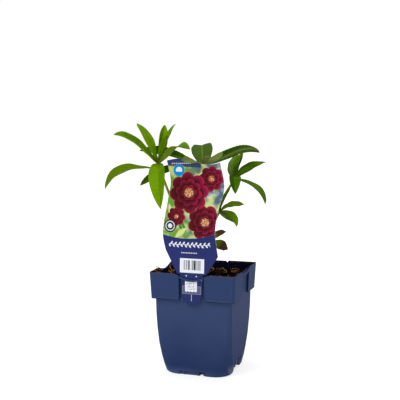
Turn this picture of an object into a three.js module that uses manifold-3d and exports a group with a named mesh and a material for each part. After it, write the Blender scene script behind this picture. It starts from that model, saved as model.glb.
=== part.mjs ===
// A young hellebore in its square nursery pot, with compost and a plant label.
// Millimetres, +Z up. The origin is the centre of the pot's underside, and the label is on the -Y side.
import * as THREE from "three";
import { mergeVertices } from "three/addons/utils/BufferGeometryUtils.js";
import Module from "manifold-3d";

const wasm = await Module();
wasm.setup();

// ---------------------------------------------------------------- driving dimensions

const potHeight = 106;
const rimHalf = 45; // half the width over the four corner blocks at the rim
const wall = 1.1;
const floorThickness = 1.6;
const clearance = 0.3;

const collar = {
  height: 27.2,
  blockHalfBelow: 43.6, // the corner blocks taper a little towards their lower edge
  centreHalf: 42.6, // the plain wall between the blocks, at the rim
  centreHalfBelow: 41.7,
  centreWidth: 25.5,
  cornerRadius: 2.6,
  blockRounding: 3,
};

// The rim sags in the middle of three sides, where a thin strap holds a label. The back has two small nicks.
const sags = [
  { angle: 0, dip: 5.4 },
  { angle: 90, dip: 3.6 },
  { angle: 270, dip: 3.6 },
];
const sagHalfWidth = 19;
const sagSharpness = 1.2;
const strap = { depth: 1.1, height: 2.2, inset: 0.1 };
const nick = { halfWidth: 2.2, depth: 1.6 };

// Half width and corner radius of the body at heights above the floor.
const bodyProfile = [
  { height: 0, half: 34.6, corner: 17 },
  { height: 1.6, half: 35.6, corner: 17.5 },
  { height: 8, half: 37, corner: 16.5 },
  { height: 18, half: 38, corner: 12.5 },
  { height: 31, half: 39, corner: 8.5 },
  { height: 47, half: 39.7, corner: 5.5 },
  { height: 62, half: 40.1, corner: 3.8 },
  { height: 79, half: 40.3, corner: 3 },
];

// A slot at the foot of each side, crossed by two ribs, with a hole through to the compost.
// It is higher and shallower on the right and the left, where the pot also stands clear of the floor.
const drain = {
  x: -1.8,
  width: 28,
  heights: [4.4, 12, 4.4, 12],
  depths: [2.8, 1.4, 2.8, 1.4],
  gate: { height: 5, depth: 7 },
  ribs: [-11, 4],
  ribWidth: 1.3,
  holeAt: 7.5,
  holeWidth: 3.6,
  holeHeight: 3.4,
  holeDepth: 4.2,
};
const drainY = -bodyProfile[1].half - 1;

// What cuts into the collar's front starts this far in, is this deep, and reaches this far above the rim.
const cutter = { inner: -36, depth: 12 };
const aboveRim = 2;
const overlap = 1; // how far solids that join run into each other

const soilLevel = 96.8;
const soilLumps = 0.9;
const soilGrid = 24;
const soilSeed = 7;
// The compost is heaped in the corner left of the label, along the left wall, and a little at the crown.
const soilHeaps = [
  { x: -31, y: -33, spread: 15, height: 7.5 },
  { x: -35, y: -2, spread: 12, height: 9 },
  { x: -4, y: 20, spread: 16, height: 3.5 },
];

const label = {
  thickness: 0.5,
  slotY: -43.25,
  leanBack: 0.045,
  cup: 1.4, // how far it curls back at cupAcross from its middle, from cupAbove over the rim upwards
  cupAcross: 30,
  cupAbove: 40,
  topWave: 2.3,
  wavyRows: 3,
  tongueRows: 7,
  faceRows: 12,
  columns: 8,
};

// The card's two edges as (x, z): its tongue from the tip up, the neck over the rim, and its face.
const labelEdges = {
  left: {
    tongue: [[-1.6, 74.7], [-6, 76.8], [-9.4, 83], [-11.8, 105.2]],
    neck: [-15.4, 106.1],
    face: [[-28, 129.3], [-31.6, 148], [-26.4, 179], [-23.6, 198], [-28, 218.6]],
  },
  right: {
    tongue: [[1.8, 74.7], [6.2, 76.8], [9.8, 83], [11.8, 105.2]],
    neck: [15.4, 106],
    face: [[26.9, 124.4], [23.4, 148], [26.4, 170], [32, 193], [27.3, 216.9]],
  },
};

const stem = { soilRadius: 1.9, hubRadius: 1.15, hubBall: 2, rootDepth: 9, sides: 8, steps: 14 };

const blade = {
  thickness: 0.66,
  rootThickness: 1.4,
  rootShare: 0.2, // the share of its length over which it thins
  rootHalfWidth: 0.9,
  tipHalfWidth: 0.3,
  fold: 20,
  shoulder: 1.4,
  fall: 0.85,
  stations: 16,
  toothedFrom: 0.35, // the share of its length where the teeth begin
  toothDepth: 0.13,
};

// Each leaf: its hub, where the leaflets spread; the stalk from the crown up to it; and its leaflets.
// azimuth 0 is +X and 90 is +Y; rise is the slope at the hub; droop is how much that slope falls by the tip;
// bend is where it falls (1 evenly, 3 near the tip); roll turns the blade about its midrib;
// swerve turns it sideways. Some have a fold of their own (how steeply the two halves rise from the midrib),
// a twist (how much more they are rolled at the tip), a shoulder (below 1.4 the blade is broader near its
// root), or a root so far below the hub.
const leaves = [
  {
    name: "leaf_left",
    hub: [-36, -41, 215],
    stalk: [[-12, -4], [-16, -18, 142], [-26.5, -34, 184]],
    leaflets: [
      {
        azimuth: 240, rise: 39, droop: 38, bend: 2.2, length: 65, width: 14.5,
        roll: -71, swerve: 8, twist: 39,
      },
      {
        azimuth: 151, rise: 56, droop: 21, bend: 1.6, length: 55, width: 14.8,
        roll: 4, swerve: -7, twist: 10,
      },
      {
        azimuth: 95, rise: 52, droop: 10, bend: 1.3, length: 53, width: 9.2,
        roll: 50, swerve: 8, twist: -30,
      },
      { azimuth: 78, rise: 66, droop: 20, bend: 1.4, length: 34, width: 7, roll: 50, swerve: 5 },
      {
        azimuth: 77, rise: 59, droop: 25, bend: 1.7, length: 53, width: 8,
        roll: -10, swerve: 3, twist: -11,
      },
      {
        azimuth: 338, rise: 39, droop: 74, bend: 2.5, length: 52, width: 9.8,
        roll: -81, swerve: -10, twist: 150,
      },
      {
        azimuth: 287, rise: -2, droop: 50, bend: 0.75, length: 78, width: 16.5,
        roll: 5, swerve: 13, twist: 25, shoulder: 0.8,
      },
      {
        azimuth: 235, rise: 5, droop: 65, bend: 2.4, length: 75, width: 16.2,
        roll: 27, swerve: 21, fold: 14, twist: 40, shoulder: 2.4, below: 4.5,
      },
    ],
  },
  {
    name: "leaf_middle",
    hub: [5, -24, 214],
    stalk: [[-10, 6], [-7, -5, 150], [0, -18, 190]],
    leaflets: [
      {
        azimuth: 108, rise: 44, droop: 59, bend: 1.9, length: 47, width: 21.7,
        roll: -1, swerve: 1, fold: 13, twist: -10, shoulder: 0.76,
      },
      {
        azimuth: 51, rise: 15, droop: 25, bend: 2.4, length: 81, width: 18.5,
        roll: -87, swerve: 13, twist: 74,
      },
      {
        azimuth: 177, rise: 17, droop: 19, bend: 1.8, length: 76, width: 16.5,
        roll: -27, swerve: -14, shoulder: 1.7,
      },
      {
        azimuth: 185, rise: -4, droop: 35, bend: 1.4, length: 70, width: 13.6,
        roll: -10, swerve: 1, twist: -47,
      },
      {
        azimuth: 268, rise: 19, droop: 19, bend: 0.8, length: 37.8, width: 11.5,
        roll: 10, swerve: -25, fold: 14, twist: -65, shoulder: 1.7,
      },
      {
        azimuth: 320, rise: 30, droop: 14, bend: 1.4, length: 20, width: 9,
        roll: -28, swerve: -1, shoulder: 1,
      },
      { azimuth: 327, rise: 8, droop: -38, bend: 1.5, length: 36, width: 9.5, roll: -15, swerve: -6 },
    ],
  },
  {
    name: "leaf_right",
    hub: [30, 10, 199],
    stalk: [[-4.5, 4], [2, 8.5, 140], [14.4, 13.8, 175]],
    leaflets: [
      {
        azimuth: 110, rise: 29, droop: -7, bend: 1.3, length: 45, width: 15,
        roll: -39, swerve: -15, twist: 29, shoulder: 0.8,
      },
      { azimuth: 92, rise: 49, droop: 33, bend: 1.3, length: 44, width: 12, roll: -28, swerve: 4 },
      {
        azimuth: 54, rise: 30, droop: 24, bend: 1.5, length: 45, width: 13.5,
        roll: 23, swerve: 0, twist: -10, shoulder: 1,
      },
      {
        azimuth: 332, rise: -12, droop: 59, bend: 2, length: 49, width: 14.5,
        roll: 20, swerve: 5, twist: -40, shoulder: 1.7,
      },
      {
        azimuth: 283, rise: 13, droop: 73, bend: 1.5, length: 50, width: 12.2,
        roll: -22, swerve: 5, twist: 26, shoulder: 1.15,
      },
    ],
  },
  {
    name: "leaf_low",
    hub: [17, -5, 165],
    stalk: [[-4, -4], [2, -5, 130]],
    leaflets: [
      {
        azimuth: 32, rise: 37, droop: 41, bend: 0.9, length: 27.7, width: 14.4,
        roll: -15, swerve: -20, fold: 14, twist: -28, shoulder: 0.7,
      },
      {
        azimuth: 335, rise: 10, droop: 82, bend: 1.4, length: 34.8, width: 9.5,
        roll: 10, swerve: -25, fold: 14, twist: -22, shoulder: 1,
      },
      { azimuth: 26, rise: 69, droop: 12, bend: 1.3, length: 26.5, width: 6.5, roll: 14, swerve: 0 },
      {
        azimuth: 329, rise: -20, droop: 7, bend: 1.2, length: 24, width: 8,
        roll: -95, swerve: 3, twist: 45, shoulder: 0.9,
      },
      { azimuth: 135, rise: 35, droop: 50, bend: 1.2, length: 34, width: 11, roll: 0, swerve: 0 },
      { azimuth: 236, rise: 15, droop: 50, bend: 1.2, length: 28, width: 11, roll: 10, swerve: 0 },
    ],
  },
  {
    name: "leaf_old",
    hub: [11.5, -16, 136],
    stalk: [[-8, -9], [-2, -12, 116]],
    leaflets: [
      {
        azimuth: 18, rise: 43, droop: 28, bend: 1.4, length: 18.5, width: 11.2,
        roll: -43, swerve: -2, shoulder: 1.3,
      },
      {
        azimuth: 13, rise: -31, droop: -12, bend: 1.4, length: 19.5, width: 15.7,
        roll: 48, swerve: 4, twist: -19,
      },
      { azimuth: 195, rise: 20, droop: 40, bend: 1.2, length: 24, width: 10, roll: 0, swerve: 0 },
      { azimuth: 250, rise: 10, droop: 40, bend: 1.2, length: 22, width: 10, roll: 0, swerve: 0 },
    ],
  },
];

// ---------------------------------------------------------------- shared tools

const vector = (x, y, z) => new THREE.Vector3(x, y, z);
const radians = THREE.MathUtils.degToRad;
const lerp = THREE.MathUtils.lerp;

// Numbers from 0 to 1 that are the same on every run.
function seededRandom(seed) {
  let state = seed;
  return () => {
    state = (state * 1664525 + 1013904223) % 4294967296;
    return state / 4294967296;
  };
}

function solidOf(geometry) {
  const bare = geometry.clone();
  bare.deleteAttribute("normal");
  bare.deleteAttribute("uv");
  const merged = mergeVertices(bare, 1e-4);
  return new wasm.Manifold(
    new wasm.Mesh({
      numProp: 3,
      vertProperties: new Float32Array(merged.attributes.position.array),
      triVerts: new Uint32Array(merged.index.array),
    }),
  );
}

function geometryOf(solid) {
  const mesh = solid.getMesh();
  const geometry = new THREE.BufferGeometry();
  geometry.setAttribute("position", new THREE.BufferAttribute(mesh.vertProperties, 3));
  geometry.setIndex(new THREE.BufferAttribute(mesh.triVerts, 1));
  geometry.computeVertexNormals();
  return geometry;
}

function closedGeometry(points, triangles) {
  const geometry = new THREE.BufferGeometry().setFromPoints(points);
  geometry.setIndex(triangles);
  return geometry;
}

// A skin over rings of equally many points, counter-clockwise as seen from the last, closed at both ends.
function loft(rings) {
  const count = rings[0].length;
  const triangles = [];
  for (let i = 0; i + 1 < rings.length; i++) {
    for (let j = 0; j < count; j++) {
      const a = i * count + j;
      const b = i * count + ((j + 1) % count);
      triangles.push(a, b, b + count, a, b + count, a + count);
    }
  }
  const last = (rings.length - 1) * count;
  for (let j = 1; j + 1 < count; j++) {
    triangles.push(0, j + 1, j);
    triangles.push(last, last + j, last + j + 1);
  }
  return closedGeometry(rings.flat(), triangles);
}

function box(width, depth, height, x, y, z) {
  return solidOf(new THREE.BoxGeometry(width, depth, height).translate(x, y, z));
}

// The same solid on all four sides of the pot.
function onFourSides(solid) {
  let all = solid;
  for (const angle of [90, 180, 270]) all = all.add(solid.rotate([0, 0, angle]));
  return all;
}

function partMesh(name, solid, color, roughness) {
  const material = new THREE.MeshStandardMaterial({ color, roughness, metalness: 0 });
  const mesh = new THREE.Mesh(geometryOf(solid), material);
  mesh.name = name;
  return mesh;
}

// ---------------------------------------------------------------- pot

function roundedSquare(half, corner, height) {
  const stepsPerCorner = 5;
  const quarterTurn = Math.PI / 2;
  const upright = vector(0, 0, 1);
  const ring = [];
  for (let quarter = 0; quarter < 4; quarter++) {
    for (let step = 0; step <= stepsPerCorner; step++) {
      const angle = (step / stepsPerCorner) * quarterTurn;
      const x = half - corner + corner * Math.cos(angle);
      const y = half - corner + corner * Math.sin(angle);
      ring.push(vector(x, y, height).applyAxisAngle(upright, quarter * quarterTurn));
    }
  }
  return ring;
}

function bodyLevelAt(height) {
  const above = bodyProfile.findIndex((level) => level.height >= height);
  if (above === -1) return { ...bodyProfile.at(-1), height };
  if (above === 0) return bodyProfile[0];
  const [low, high] = [bodyProfile[above - 1], bodyProfile[above]];
  const t = (height - low.height) / (high.height - low.height);
  return { height, half: lerp(low.half, high.half, t), corner: lerp(low.corner, high.corner, t) };
}

// The body's plan shrunk by inset, from bottom to top; above the profile it runs straight up.
function bodyLoft(inset, bottom, top) {
  const between = bodyProfile.filter((level) => level.height > bottom && level.height < top);
  const levels = [bodyLevelAt(bottom), ...between, bodyLevelAt(top)];
  const rings = levels.map(({ half, corner, height }) => roundedSquare(half - inset, corner - inset, height));
  return solidOf(loft(rings));
}

// The collar's plan shrunk by inset, from bottom to the rim, and straight on to top where that is higher.
function collarLoft(halfAbove, halfBelow, inset, bottom, top) {
  const corner = collar.cornerRadius - inset;
  return solidOf(loft([
    roundedSquare(halfBelow - inset, corner, bottom),
    roundedSquare(halfAbove - inset, corner, potHeight),
    ...(top > potHeight ? [roundedSquare(halfAbove - inset, corner, top)] : []),
  ]));
}

// What is taken from the middle of the collar's front to leave two corner blocks with rounded lower corners.
function centreCutter(extra, bottom) {
  const half = collar.centreWidth / 2 + extra;
  const r = collar.blockRounding;
  const shape = new THREE.Shape();
  shape.moveTo(-half - r, bottom - overlap);
  shape.lineTo(half + r, bottom - overlap);
  shape.lineTo(half + r, bottom);
  shape.absarc(half + r, bottom + r, r, -Math.PI / 2, -Math.PI, true);
  shape.lineTo(half, potHeight + aboveRim);
  shape.lineTo(-half, potHeight + aboveRim);
  shape.lineTo(-half, bottom + r);
  shape.absarc(-half - r, bottom + r, r, 0, -Math.PI / 2, true);
  return extrudeAcrossFront(shape, cutter.depth, cutter.inner);
}

// A shape drawn in (x, z), made solid from yInner towards the front.
function extrudeAcrossFront(shape, depth, yInner) {
  const geometry = new THREE.ExtrudeGeometry(shape, { depth, bevelEnabled: false, curveSegments: 4 });
  return solidOf(geometry.rotateX(Math.PI / 2).translate(0, yInner, 0));
}

// A strip of the given height that follows the sagging rim line, raised by lift.
function sagStrip(dip, lift, height) {
  const steps = 12;
  const line = [];
  for (let i = 0; i <= steps; i++) {
    const u = (2 * i) / steps - 1;
    const sunk = dip * Math.pow(Math.max(Math.cos((Math.PI / 2) * u), 0), sagSharpness);
    line.push(new THREE.Vector2(u * sagHalfWidth, potHeight + lift - sunk));
  }
  const above = line.map((point) => new THREE.Vector2(point.x, point.y + height)).reverse();
  return new THREE.Shape([...line, ...above]);
}

// Both nicks in the back rim, where its plain middle meets the corner blocks.
function nicks() {
  const shapes = [-1, 1].map((side) => {
    const x = (side * collar.centreWidth) / 2;
    return new THREE.Shape([
      new THREE.Vector2(x - nick.halfWidth, potHeight + 1),
      new THREE.Vector2(x, potHeight - nick.depth),
      new THREE.Vector2(x + nick.halfWidth, potHeight + 1),
    ]);
  });
  const [first, second] = shapes.map((shape) => extrudeAcrossFront(shape, cutter.depth, cutter.inner));
  return first.add(second).rotate([0, 0, 180]);
}

// A space at the foot of the front, grown by extra.
function footSpace(depth, height, extra) {
  return box(
    drain.width + 2 * extra, 2 * (depth + extra), 2 * (height + extra),
    drain.x, drainY, 0,
  );
}

// The recesses of the drain slots, grown by extra, with or without the ribs that cross them.
function drainSlots(extra, ribs = []) {
  const { gate } = drain;
  const slots = drain.heights.map((height, side) => {
    let slot = footSpace(drain.depths[side], height, extra);
    for (const x of ribs) {
      slot = slot.subtract(box(drain.ribWidth, 4 * drain.depths[side], 4 * height, x, drainY, 0));
    }
    const sideways = side % 2 === 1;
    if (sideways) {
      slot = slot.add(footSpace(gate.depth, gate.height, extra));
    }
    return slot.rotate([0, 0, 90 * side]);
  });
  return slots.reduce((all, slot) => all.add(slot));
}

function makePot() {
  const ledge = potHeight - collar.height;
  const body = bodyLoft(0, 0, ledge + overlap);
  const middle = collarLoft(collar.centreHalf, collar.centreHalfBelow, 0, ledge, potHeight);
  const blocks = collarLoft(rimHalf, collar.blockHalfBelow, 0, ledge, potHeight);
  const outside = blocks.subtract(onFourSides(centreCutter(0, ledge))).add(middle).add(body);

  const hollowTop = potHeight + aboveRim;
  const hollowBlocks = collarLoft(rimHalf, collar.blockHalfBelow, wall, ledge + wall, hollowTop);
  const hollowMiddle = collarLoft(collar.centreHalf, collar.centreHalfBelow, wall, ledge + wall, hollowTop);
  const hollowBody = bodyLoft(wall, floorThickness, hollowTop);
  const hollow = hollowBlocks.subtract(onFourSides(centreCutter(wall, ledge + wall)))
    .add(hollowMiddle)
    .add(hollowBody)
    .subtract(drainSlots(wall));

  const hole = box(
    drain.holeWidth, 2 * drain.holeDepth, 2 * drain.holeHeight,
    drain.holeAt, drainY + drain.depths[0], 0,
  );

  let pot = outside.subtract(hollow);
  const bridgeY = -rimHalf + strap.depth + strap.inset;
  const acrossCentre = box(collar.centreWidth + wall, 2 * rimHalf, 2 * potHeight, 0, -rimHalf, potHeight);
  for (const { angle, dip } of sags) {
    const cut = extrudeAcrossFront(sagStrip(dip, 0, dip + aboveRim), cutter.depth, cutter.inner);
    const bridge = extrudeAcrossFront(sagStrip(dip, -strap.height, strap.height), strap.depth, bridgeY)
      .intersect(acrossCentre);
    pot = pot.subtract(cut.rotate([0, 0, angle])).add(bridge.rotate([0, 0, angle]));
  }
  return pot.subtract(nicks())
    .subtract(drainSlots(0, drain.ribs))
    .subtract(onFourSides(hole));
}

// ---------------------------------------------------------------- leaves

// The midrib of a leaflet: points and the frame (forward, side, up) at each station.
function midrib(leaflet, hub, stations) {
  const slope = (s) => radians(leaflet.rise - leaflet.droop * Math.pow(s, leaflet.bend));
  const heading = (s) => radians(leaflet.azimuth + leaflet.swerve * s);
  const forwardAt = (s) => vector(
    Math.cos(slope(s)) * Math.cos(heading(s)),
    Math.cos(slope(s)) * Math.sin(heading(s)),
    Math.sin(slope(s)),
  );
  const point = vector(hub[0], hub[1], hub[2] - (leaflet.below ?? 0));
  const ribs = [];
  for (let i = 0; i <= stations; i++) {
    const s = i / stations;
    if (i > 0) point.addScaledVector(forwardAt(s - 0.5 / stations), leaflet.length / stations);
    const forward = forwardAt(s);
    const side = vector(-Math.sin(heading(s)), Math.cos(heading(s)), 0);
    const up = forward.clone().cross(side);
    const roll = radians(leaflet.roll + (leaflet.twist ?? 0) * s);
    side.applyAxisAngle(forward, roll);
    up.applyAxisAngle(forward, roll);
    ribs.push({ s, point: point.clone(), side, up });
  }
  return ribs;
}

// Half the width of a lance-shaped leaflet, narrow at its foot, pointed at its tip and toothed further out.
function halfWidthAt(s, leaflet, i) {
  const shoulder = leaflet.shoulder ?? blade.shoulder;
  const widest = shoulder / (shoulder + blade.fall);
  const outline = (t) => Math.pow(t, shoulder) * Math.pow(1 - t, blade.fall);
  const smooth = ((leaflet.width / 2) * outline(s)) / outline(widest);
  const tooth = s > blade.toothedFrom && i % 2 === 1 ? 1 - blade.toothDepth : 1;
  return Math.max(smooth * tooth + blade.rootHalfWidth * (1 - s), blade.tipHalfWidth);
}

// A thin folded blade with the same triangles on both faces, so that they never cross.
function bladeSolid(leaflet, hub) {
  const rows = midrib(leaflet, hub, blade.stations);
  const fold = radians(leaflet.fold ?? blade.fold);
  const points = [];
  for (const [i, row] of rows.entries()) {
    const w = halfWidthAt(row.s, leaflet, i);
    const thick = lerp(blade.rootThickness, blade.thickness, Math.min(row.s / blade.rootShare, 1)) / 2;
    const edge = (side) => row.point.clone()
      .addScaledVector(row.side, side * w * Math.cos(fold))
      .addScaledVector(row.up, w * Math.sin(fold));
    for (const face of [thick, -thick]) {
      for (const p of [edge(1), row.point, edge(-1)]) points.push(p.clone().addScaledVector(row.up, face));
    }
  }
  const triangles = [];
  const quad = (a, b, c, d) => triangles.push(a, b, c, a, c, d);
  for (let i = 0; i < rows.length - 1; i++) {
    const at = i * 6;
    for (const a of [at, at + 1]) {
      quad(a, a + 1, a + 7, a + 6);
      triangles.push(a + 3, a + 10, a + 4, a + 3, a + 9, a + 10);
    }
    quad(at + 2, at + 5, at + 11, at + 8);
    quad(at + 3, at, at + 6, at + 9);
  }
  const last = (rows.length - 1) * 6;
  for (const a of [0, 1]) {
    quad(a, a + 3, a + 4, a + 1);
    quad(last + a, last + a + 1, last + a + 4, last + a + 3);
  }
  return solidOf(closedGeometry(points, triangles));
}

function stalkCurve(leaf, grow) {
  const [foot, ...between] = leaf.stalk;
  return new THREE.CatmullRomCurve3([
    vector(foot[0], foot[1], soilLevel - stem.rootDepth - grow),
    vector(foot[0], foot[1], soilLevel + 2),
    ...between.map((p) => vector(...p)),
    vector(...leaf.hub),
  ], false, "centripetal");
}

// A round stalk of falling thickness; grow makes the hole that it stands in.
function stalkSolid(leaf, grow) {
  const curve = stalkCurve(leaf, grow);
  const rings = [];
  for (let i = 0; i <= stem.steps; i++) {
    const t = i / stem.steps;
    const radius = lerp(stem.soilRadius, stem.hubRadius, t) + grow;
    const forward = curve.getTangentAt(t);
    const side = vector(1, 0, 0).cross(forward).normalize();
    const up = forward.clone().cross(side);
    const ring = [];
    for (let j = 0; j < stem.sides; j++) {
      const angle = (j / stem.sides) * 2 * Math.PI;
      ring.push(curve.getPointAt(t)
        .addScaledVector(side, radius * Math.cos(angle))
        .addScaledVector(up, radius * Math.sin(angle)));
    }
    rings.push(ring);
  }
  return solidOf(loft(rings));
}

function makeLeaf(leaf) {
  const knot = new THREE.IcosahedronGeometry(stem.hubBall, 1).translate(...leaf.hub);
  let solid = stalkSolid(leaf, 0).add(solidOf(knot));
  for (const leaflet of leaf.leaflets) solid = solid.add(bladeSolid(leaflet, leaf.hub));
  return solid;
}

// ---------------------------------------------------------------- soil

function soilHeight(x, y, random) {
  let height = soilLevel + soilLumps * (2 * random() - 1);
  for (const heap of soilHeaps) {
    const away = Math.hypot(x - heap.x, y - heap.y) / heap.spread;
    height += heap.height * Math.exp(-(away ** 2));
  }
  return height;
}

// A block with a lumpy top, larger than the pot, to be trimmed to the pot's inside.
function soilBlock() {
  const random = seededRandom(soilSeed);
  const reach = rimHalf;
  const points = [];
  const triangles = [];
  const across = soilGrid + 1;
  for (const top of [true, false]) {
    for (let i = 0; i < across; i++) {
      for (let j = 0; j < across; j++) {
        const x = lerp(-reach, reach, i / soilGrid);
        const y = lerp(-reach, reach, j / soilGrid);
        points.push(vector(x, y, top ? soilHeight(x, y, random) : 0));
      }
    }
  }
  const under = across * across;
  for (let i = 0; i < soilGrid; i++) {
    for (let j = 0; j < soilGrid; j++) {
      const a = i * across + j;
      const b = under + a;
      triangles.push(a, a + across, a + across + 1, a, a + across + 1, a + 1);
      triangles.push(b, b + across + 1, b + across, b, b + 1, b + across + 1);
    }
  }
  const edge = (a, b) => triangles.push(a, b, under + b, a, under + b, under + a);
  for (let i = 0; i < soilGrid; i++) {
    edge((i + 1) * across, i * across);
    edge(i * across + soilGrid, (i + 1) * across + soilGrid);
    edge(i, i + 1);
    edge(soilGrid * across + i + 1, soilGrid * across + i);
  }
  return solidOf(closedGeometry(points, triangles));
}

function makeSoil() {
  const ledge = potHeight - collar.height;
  const inset = wall + clearance;
  const top = potHeight + aboveRim;
  const inBlocks = collarLoft(rimHalf, collar.blockHalfBelow, inset, ledge + inset, top)
    .subtract(onFourSides(centreCutter(inset, ledge + inset)));
  const inMiddle = collarLoft(collar.centreHalf, collar.centreHalfBelow, inset, ledge + inset, top);
  let soil = bodyLoft(inset, floorThickness + clearance, top)
    .add(inMiddle)
    .add(inBlocks)
    .subtract(drainSlots(inset))
    .intersect(soilBlock());
  for (const leaf of leaves) soil = soil.subtract(stalkSolid(leaf, clearance));
  return soil;
}

// ---------------------------------------------------------------- label

function curvePoints(points, steps) {
  return new THREE.SplineCurve(points.map((p) => new THREE.Vector2(...p))).getPoints(steps);
}

function labelEdge({ tongue, neck, face }) {
  return [
    ...curvePoints(tongue, label.tongueRows),
    new THREE.Vector2(...neck),
    ...curvePoints(face, label.faceRows),
  ];
}

// How far forward or back the card stands: straight in its slot, then leaning back and a little cupped.
function labelY(x, z) {
  const above = Math.max(z - potHeight, 0);
  const cupped = label.cup * Math.min(above / label.cupAbove, 1) * (x / label.cupAcross) ** 2;
  return label.slotY + label.leanBack * above + cupped;
}

function makeLabel() {
  const left = labelEdge(labelEdges.left);
  const right = labelEdge(labelEdges.right);
  const columns = label.columns;
  const across = columns + 1;
  const points = [];
  for (const face of [-label.thickness / 2, label.thickness / 2]) {
    for (let i = 0; i < left.length; i++) {
      for (let j = 0; j <= columns; j++) {
        const u = j / columns;
        const x = lerp(left[i].x, right[i].x, u);
        const nearTop = Math.max(0, i + 1 - left.length + label.wavyRows) / label.wavyRows;
        const z = lerp(left[i].y, right[i].y, u) + label.topWave * nearTop * Math.sin(2 * Math.PI * u);
        points.push(vector(x, labelY(x, z) + face, z));
      }
    }
  }
  const back = left.length * across;
  const triangles = [];
  for (let i = 0; i < left.length - 1; i++) {
    for (let j = 0; j < columns; j++) {
      const a = i * across + j;
      const b = back + a;
      triangles.push(a, a + 1, a + across + 1, a, a + across + 1, a + across);
      triangles.push(b, b + across + 1, b + 1, b, b + across, b + across + 1);
    }
  }
  const edge = (a, b) => triangles.push(b, a, back + a, b, back + a, back + b);
  const last = (left.length - 1) * across;
  for (let j = 0; j < columns; j++) {
    edge(j, j + 1);
    edge(last + j + 1, last + j);
  }
  for (let i = 0; i < left.length - 1; i++) {
    edge((i + 1) * across, i * across);
    edge(i * across + columns, (i + 1) * across + columns);
  }
  return solidOf(closedGeometry(points, triangles));
}

// ---------------------------------------------------------------- assembly

const plant = new THREE.Group();
plant.add(partMesh("pot", makePot(), 0x36486f, 0.45));
plant.add(partMesh("soil", makeSoil(), 0x2a1c12, 0.95));
plant.add(partMesh("label", makeLabel(), 0x3a4580, 0.35));
for (const leaf of leaves) plant.add(partMesh(leaf.name, makeLeaf(leaf), 0x4f8a16, 0.5));

export default plant;
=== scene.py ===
# A hellebore in its blue nursery pot, with a printed plant label.
# Run it in Blender 4.5. Everything is in metres, +Z up, and the label is on the -Y side.
import math
import random

import bpy
import numpy as np
from mathutils import Euler, Matrix, Vector, noise


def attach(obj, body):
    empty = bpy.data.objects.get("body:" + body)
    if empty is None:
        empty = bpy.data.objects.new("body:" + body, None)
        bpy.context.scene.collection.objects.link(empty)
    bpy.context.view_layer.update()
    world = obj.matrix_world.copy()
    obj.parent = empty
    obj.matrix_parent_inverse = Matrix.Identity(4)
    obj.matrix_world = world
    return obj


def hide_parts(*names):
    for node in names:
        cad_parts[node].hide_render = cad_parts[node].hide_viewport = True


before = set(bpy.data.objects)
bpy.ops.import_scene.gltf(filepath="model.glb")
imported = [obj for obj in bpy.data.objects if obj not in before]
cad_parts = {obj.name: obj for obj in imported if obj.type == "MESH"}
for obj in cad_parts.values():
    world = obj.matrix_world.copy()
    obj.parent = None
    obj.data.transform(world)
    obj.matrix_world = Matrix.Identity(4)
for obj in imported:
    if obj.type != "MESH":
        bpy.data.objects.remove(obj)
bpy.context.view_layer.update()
print("frame loaded:", sorted(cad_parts))


# Small tools for shader nodes. A Field is a number that varies over a surface.

class Field:
    def __init__(self, tree, socket):
        self.tree = tree
        self.socket = socket

    def __add__(self, other):
        return calc("ADD", self, other)

    def __sub__(self, other):
        return calc("SUBTRACT", self, other)

    def __rsub__(self, other):
        return calc("SUBTRACT", other, self)

    def __mul__(self, other):
        return calc("MULTIPLY", self, other)

    def __truediv__(self, other):
        return calc("DIVIDE", self, other)

    def __pow__(self, other):
        return calc("POWER", self, other)

    def __abs__(self):
        return calc("ABSOLUTE", self)

    __radd__ = __add__
    __rmul__ = __mul__


def calc(operation, *values):
    tree = next(v.tree for v in values if isinstance(v, Field))
    node = tree.nodes.new("ShaderNodeMath")
    node.operation = operation
    for socket, value in zip(node.inputs, values):
        plug(value, socket)
    return Field(tree, node.outputs[0])


def distance(first, second):
    return calc("SQRT", first ** 2 + second ** 2)


def plug(value, socket):
    if isinstance(value, Field):
        value.tree.links.new(value.socket, socket)
    else:
        socket.default_value = value


def smooth(field, low, high):
    # 0 at low and 1 at high, with a soft step between them; low may be the larger one
    node = field.tree.nodes.new("ShaderNodeMapRange")
    node.interpolation_type = "SMOOTHSTEP"
    plug(field, node.inputs["Value"])
    plug(low, node.inputs["From Min"])
    plug(high, node.inputs["From Max"])
    return Field(field.tree, node.outputs["Result"])


def between(field, low, high, soft=0.15):
    # 1 from low to high and 0 outside them
    return smooth(field, low - soft, low + soft) * smooth(field, high + soft, high - soft)


def blend(share, first, second):
    # a colour: first where share is 0, second where it is 1
    tree = next(v.tree for v in (share, first, second) if isinstance(v, Field))
    node = tree.nodes.new("ShaderNodeMix")
    node.data_type = "RGBA"
    plug(share, node.inputs[0])
    plug(first, node.inputs[6])
    plug(second, node.inputs[7])
    return Field(tree, node.outputs[2])


def painted(colour, *layers):
    # each layer is (share, colour) and covers what is under it by its share
    for share, tone in layers:
        colour = blend(share, colour, tone)
    return colour


def srgb(red, green, blue):
    # a colour as a paint program shows it, 0 to 255
    def linear(value):
        value = value / 255
        return value / 12.92 if value <= 0.04045 else ((value + 0.055) / 1.055) ** 2.4
    return (linear(red), linear(green), linear(blue), 1.0)


def axes(where, scale=1.0):
    # the three numbers of a place
    split = where.tree.nodes.new("ShaderNodeSeparateXYZ")
    plug(where, split.inputs[0])
    return [Field(where.tree, socket) * scale for socket in split.outputs]


def uvFields(where, name):
    # the two numbers that a mesh has there under this name
    node = where.tree.nodes.new("ShaderNodeUVMap")
    node.uv_map = name
    return axes(Field(where.tree, node.outputs["UV"]))[:2]


def vectorOf(x, y, z=0.0):
    tree = next(v.tree for v in (x, y, z) if isinstance(v, Field))
    node = tree.nodes.new("ShaderNodeCombineXYZ")
    for socket, value in zip(node.inputs, (x, y, z)):
        plug(value, socket)
    return Field(tree, node.outputs[0])


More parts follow.
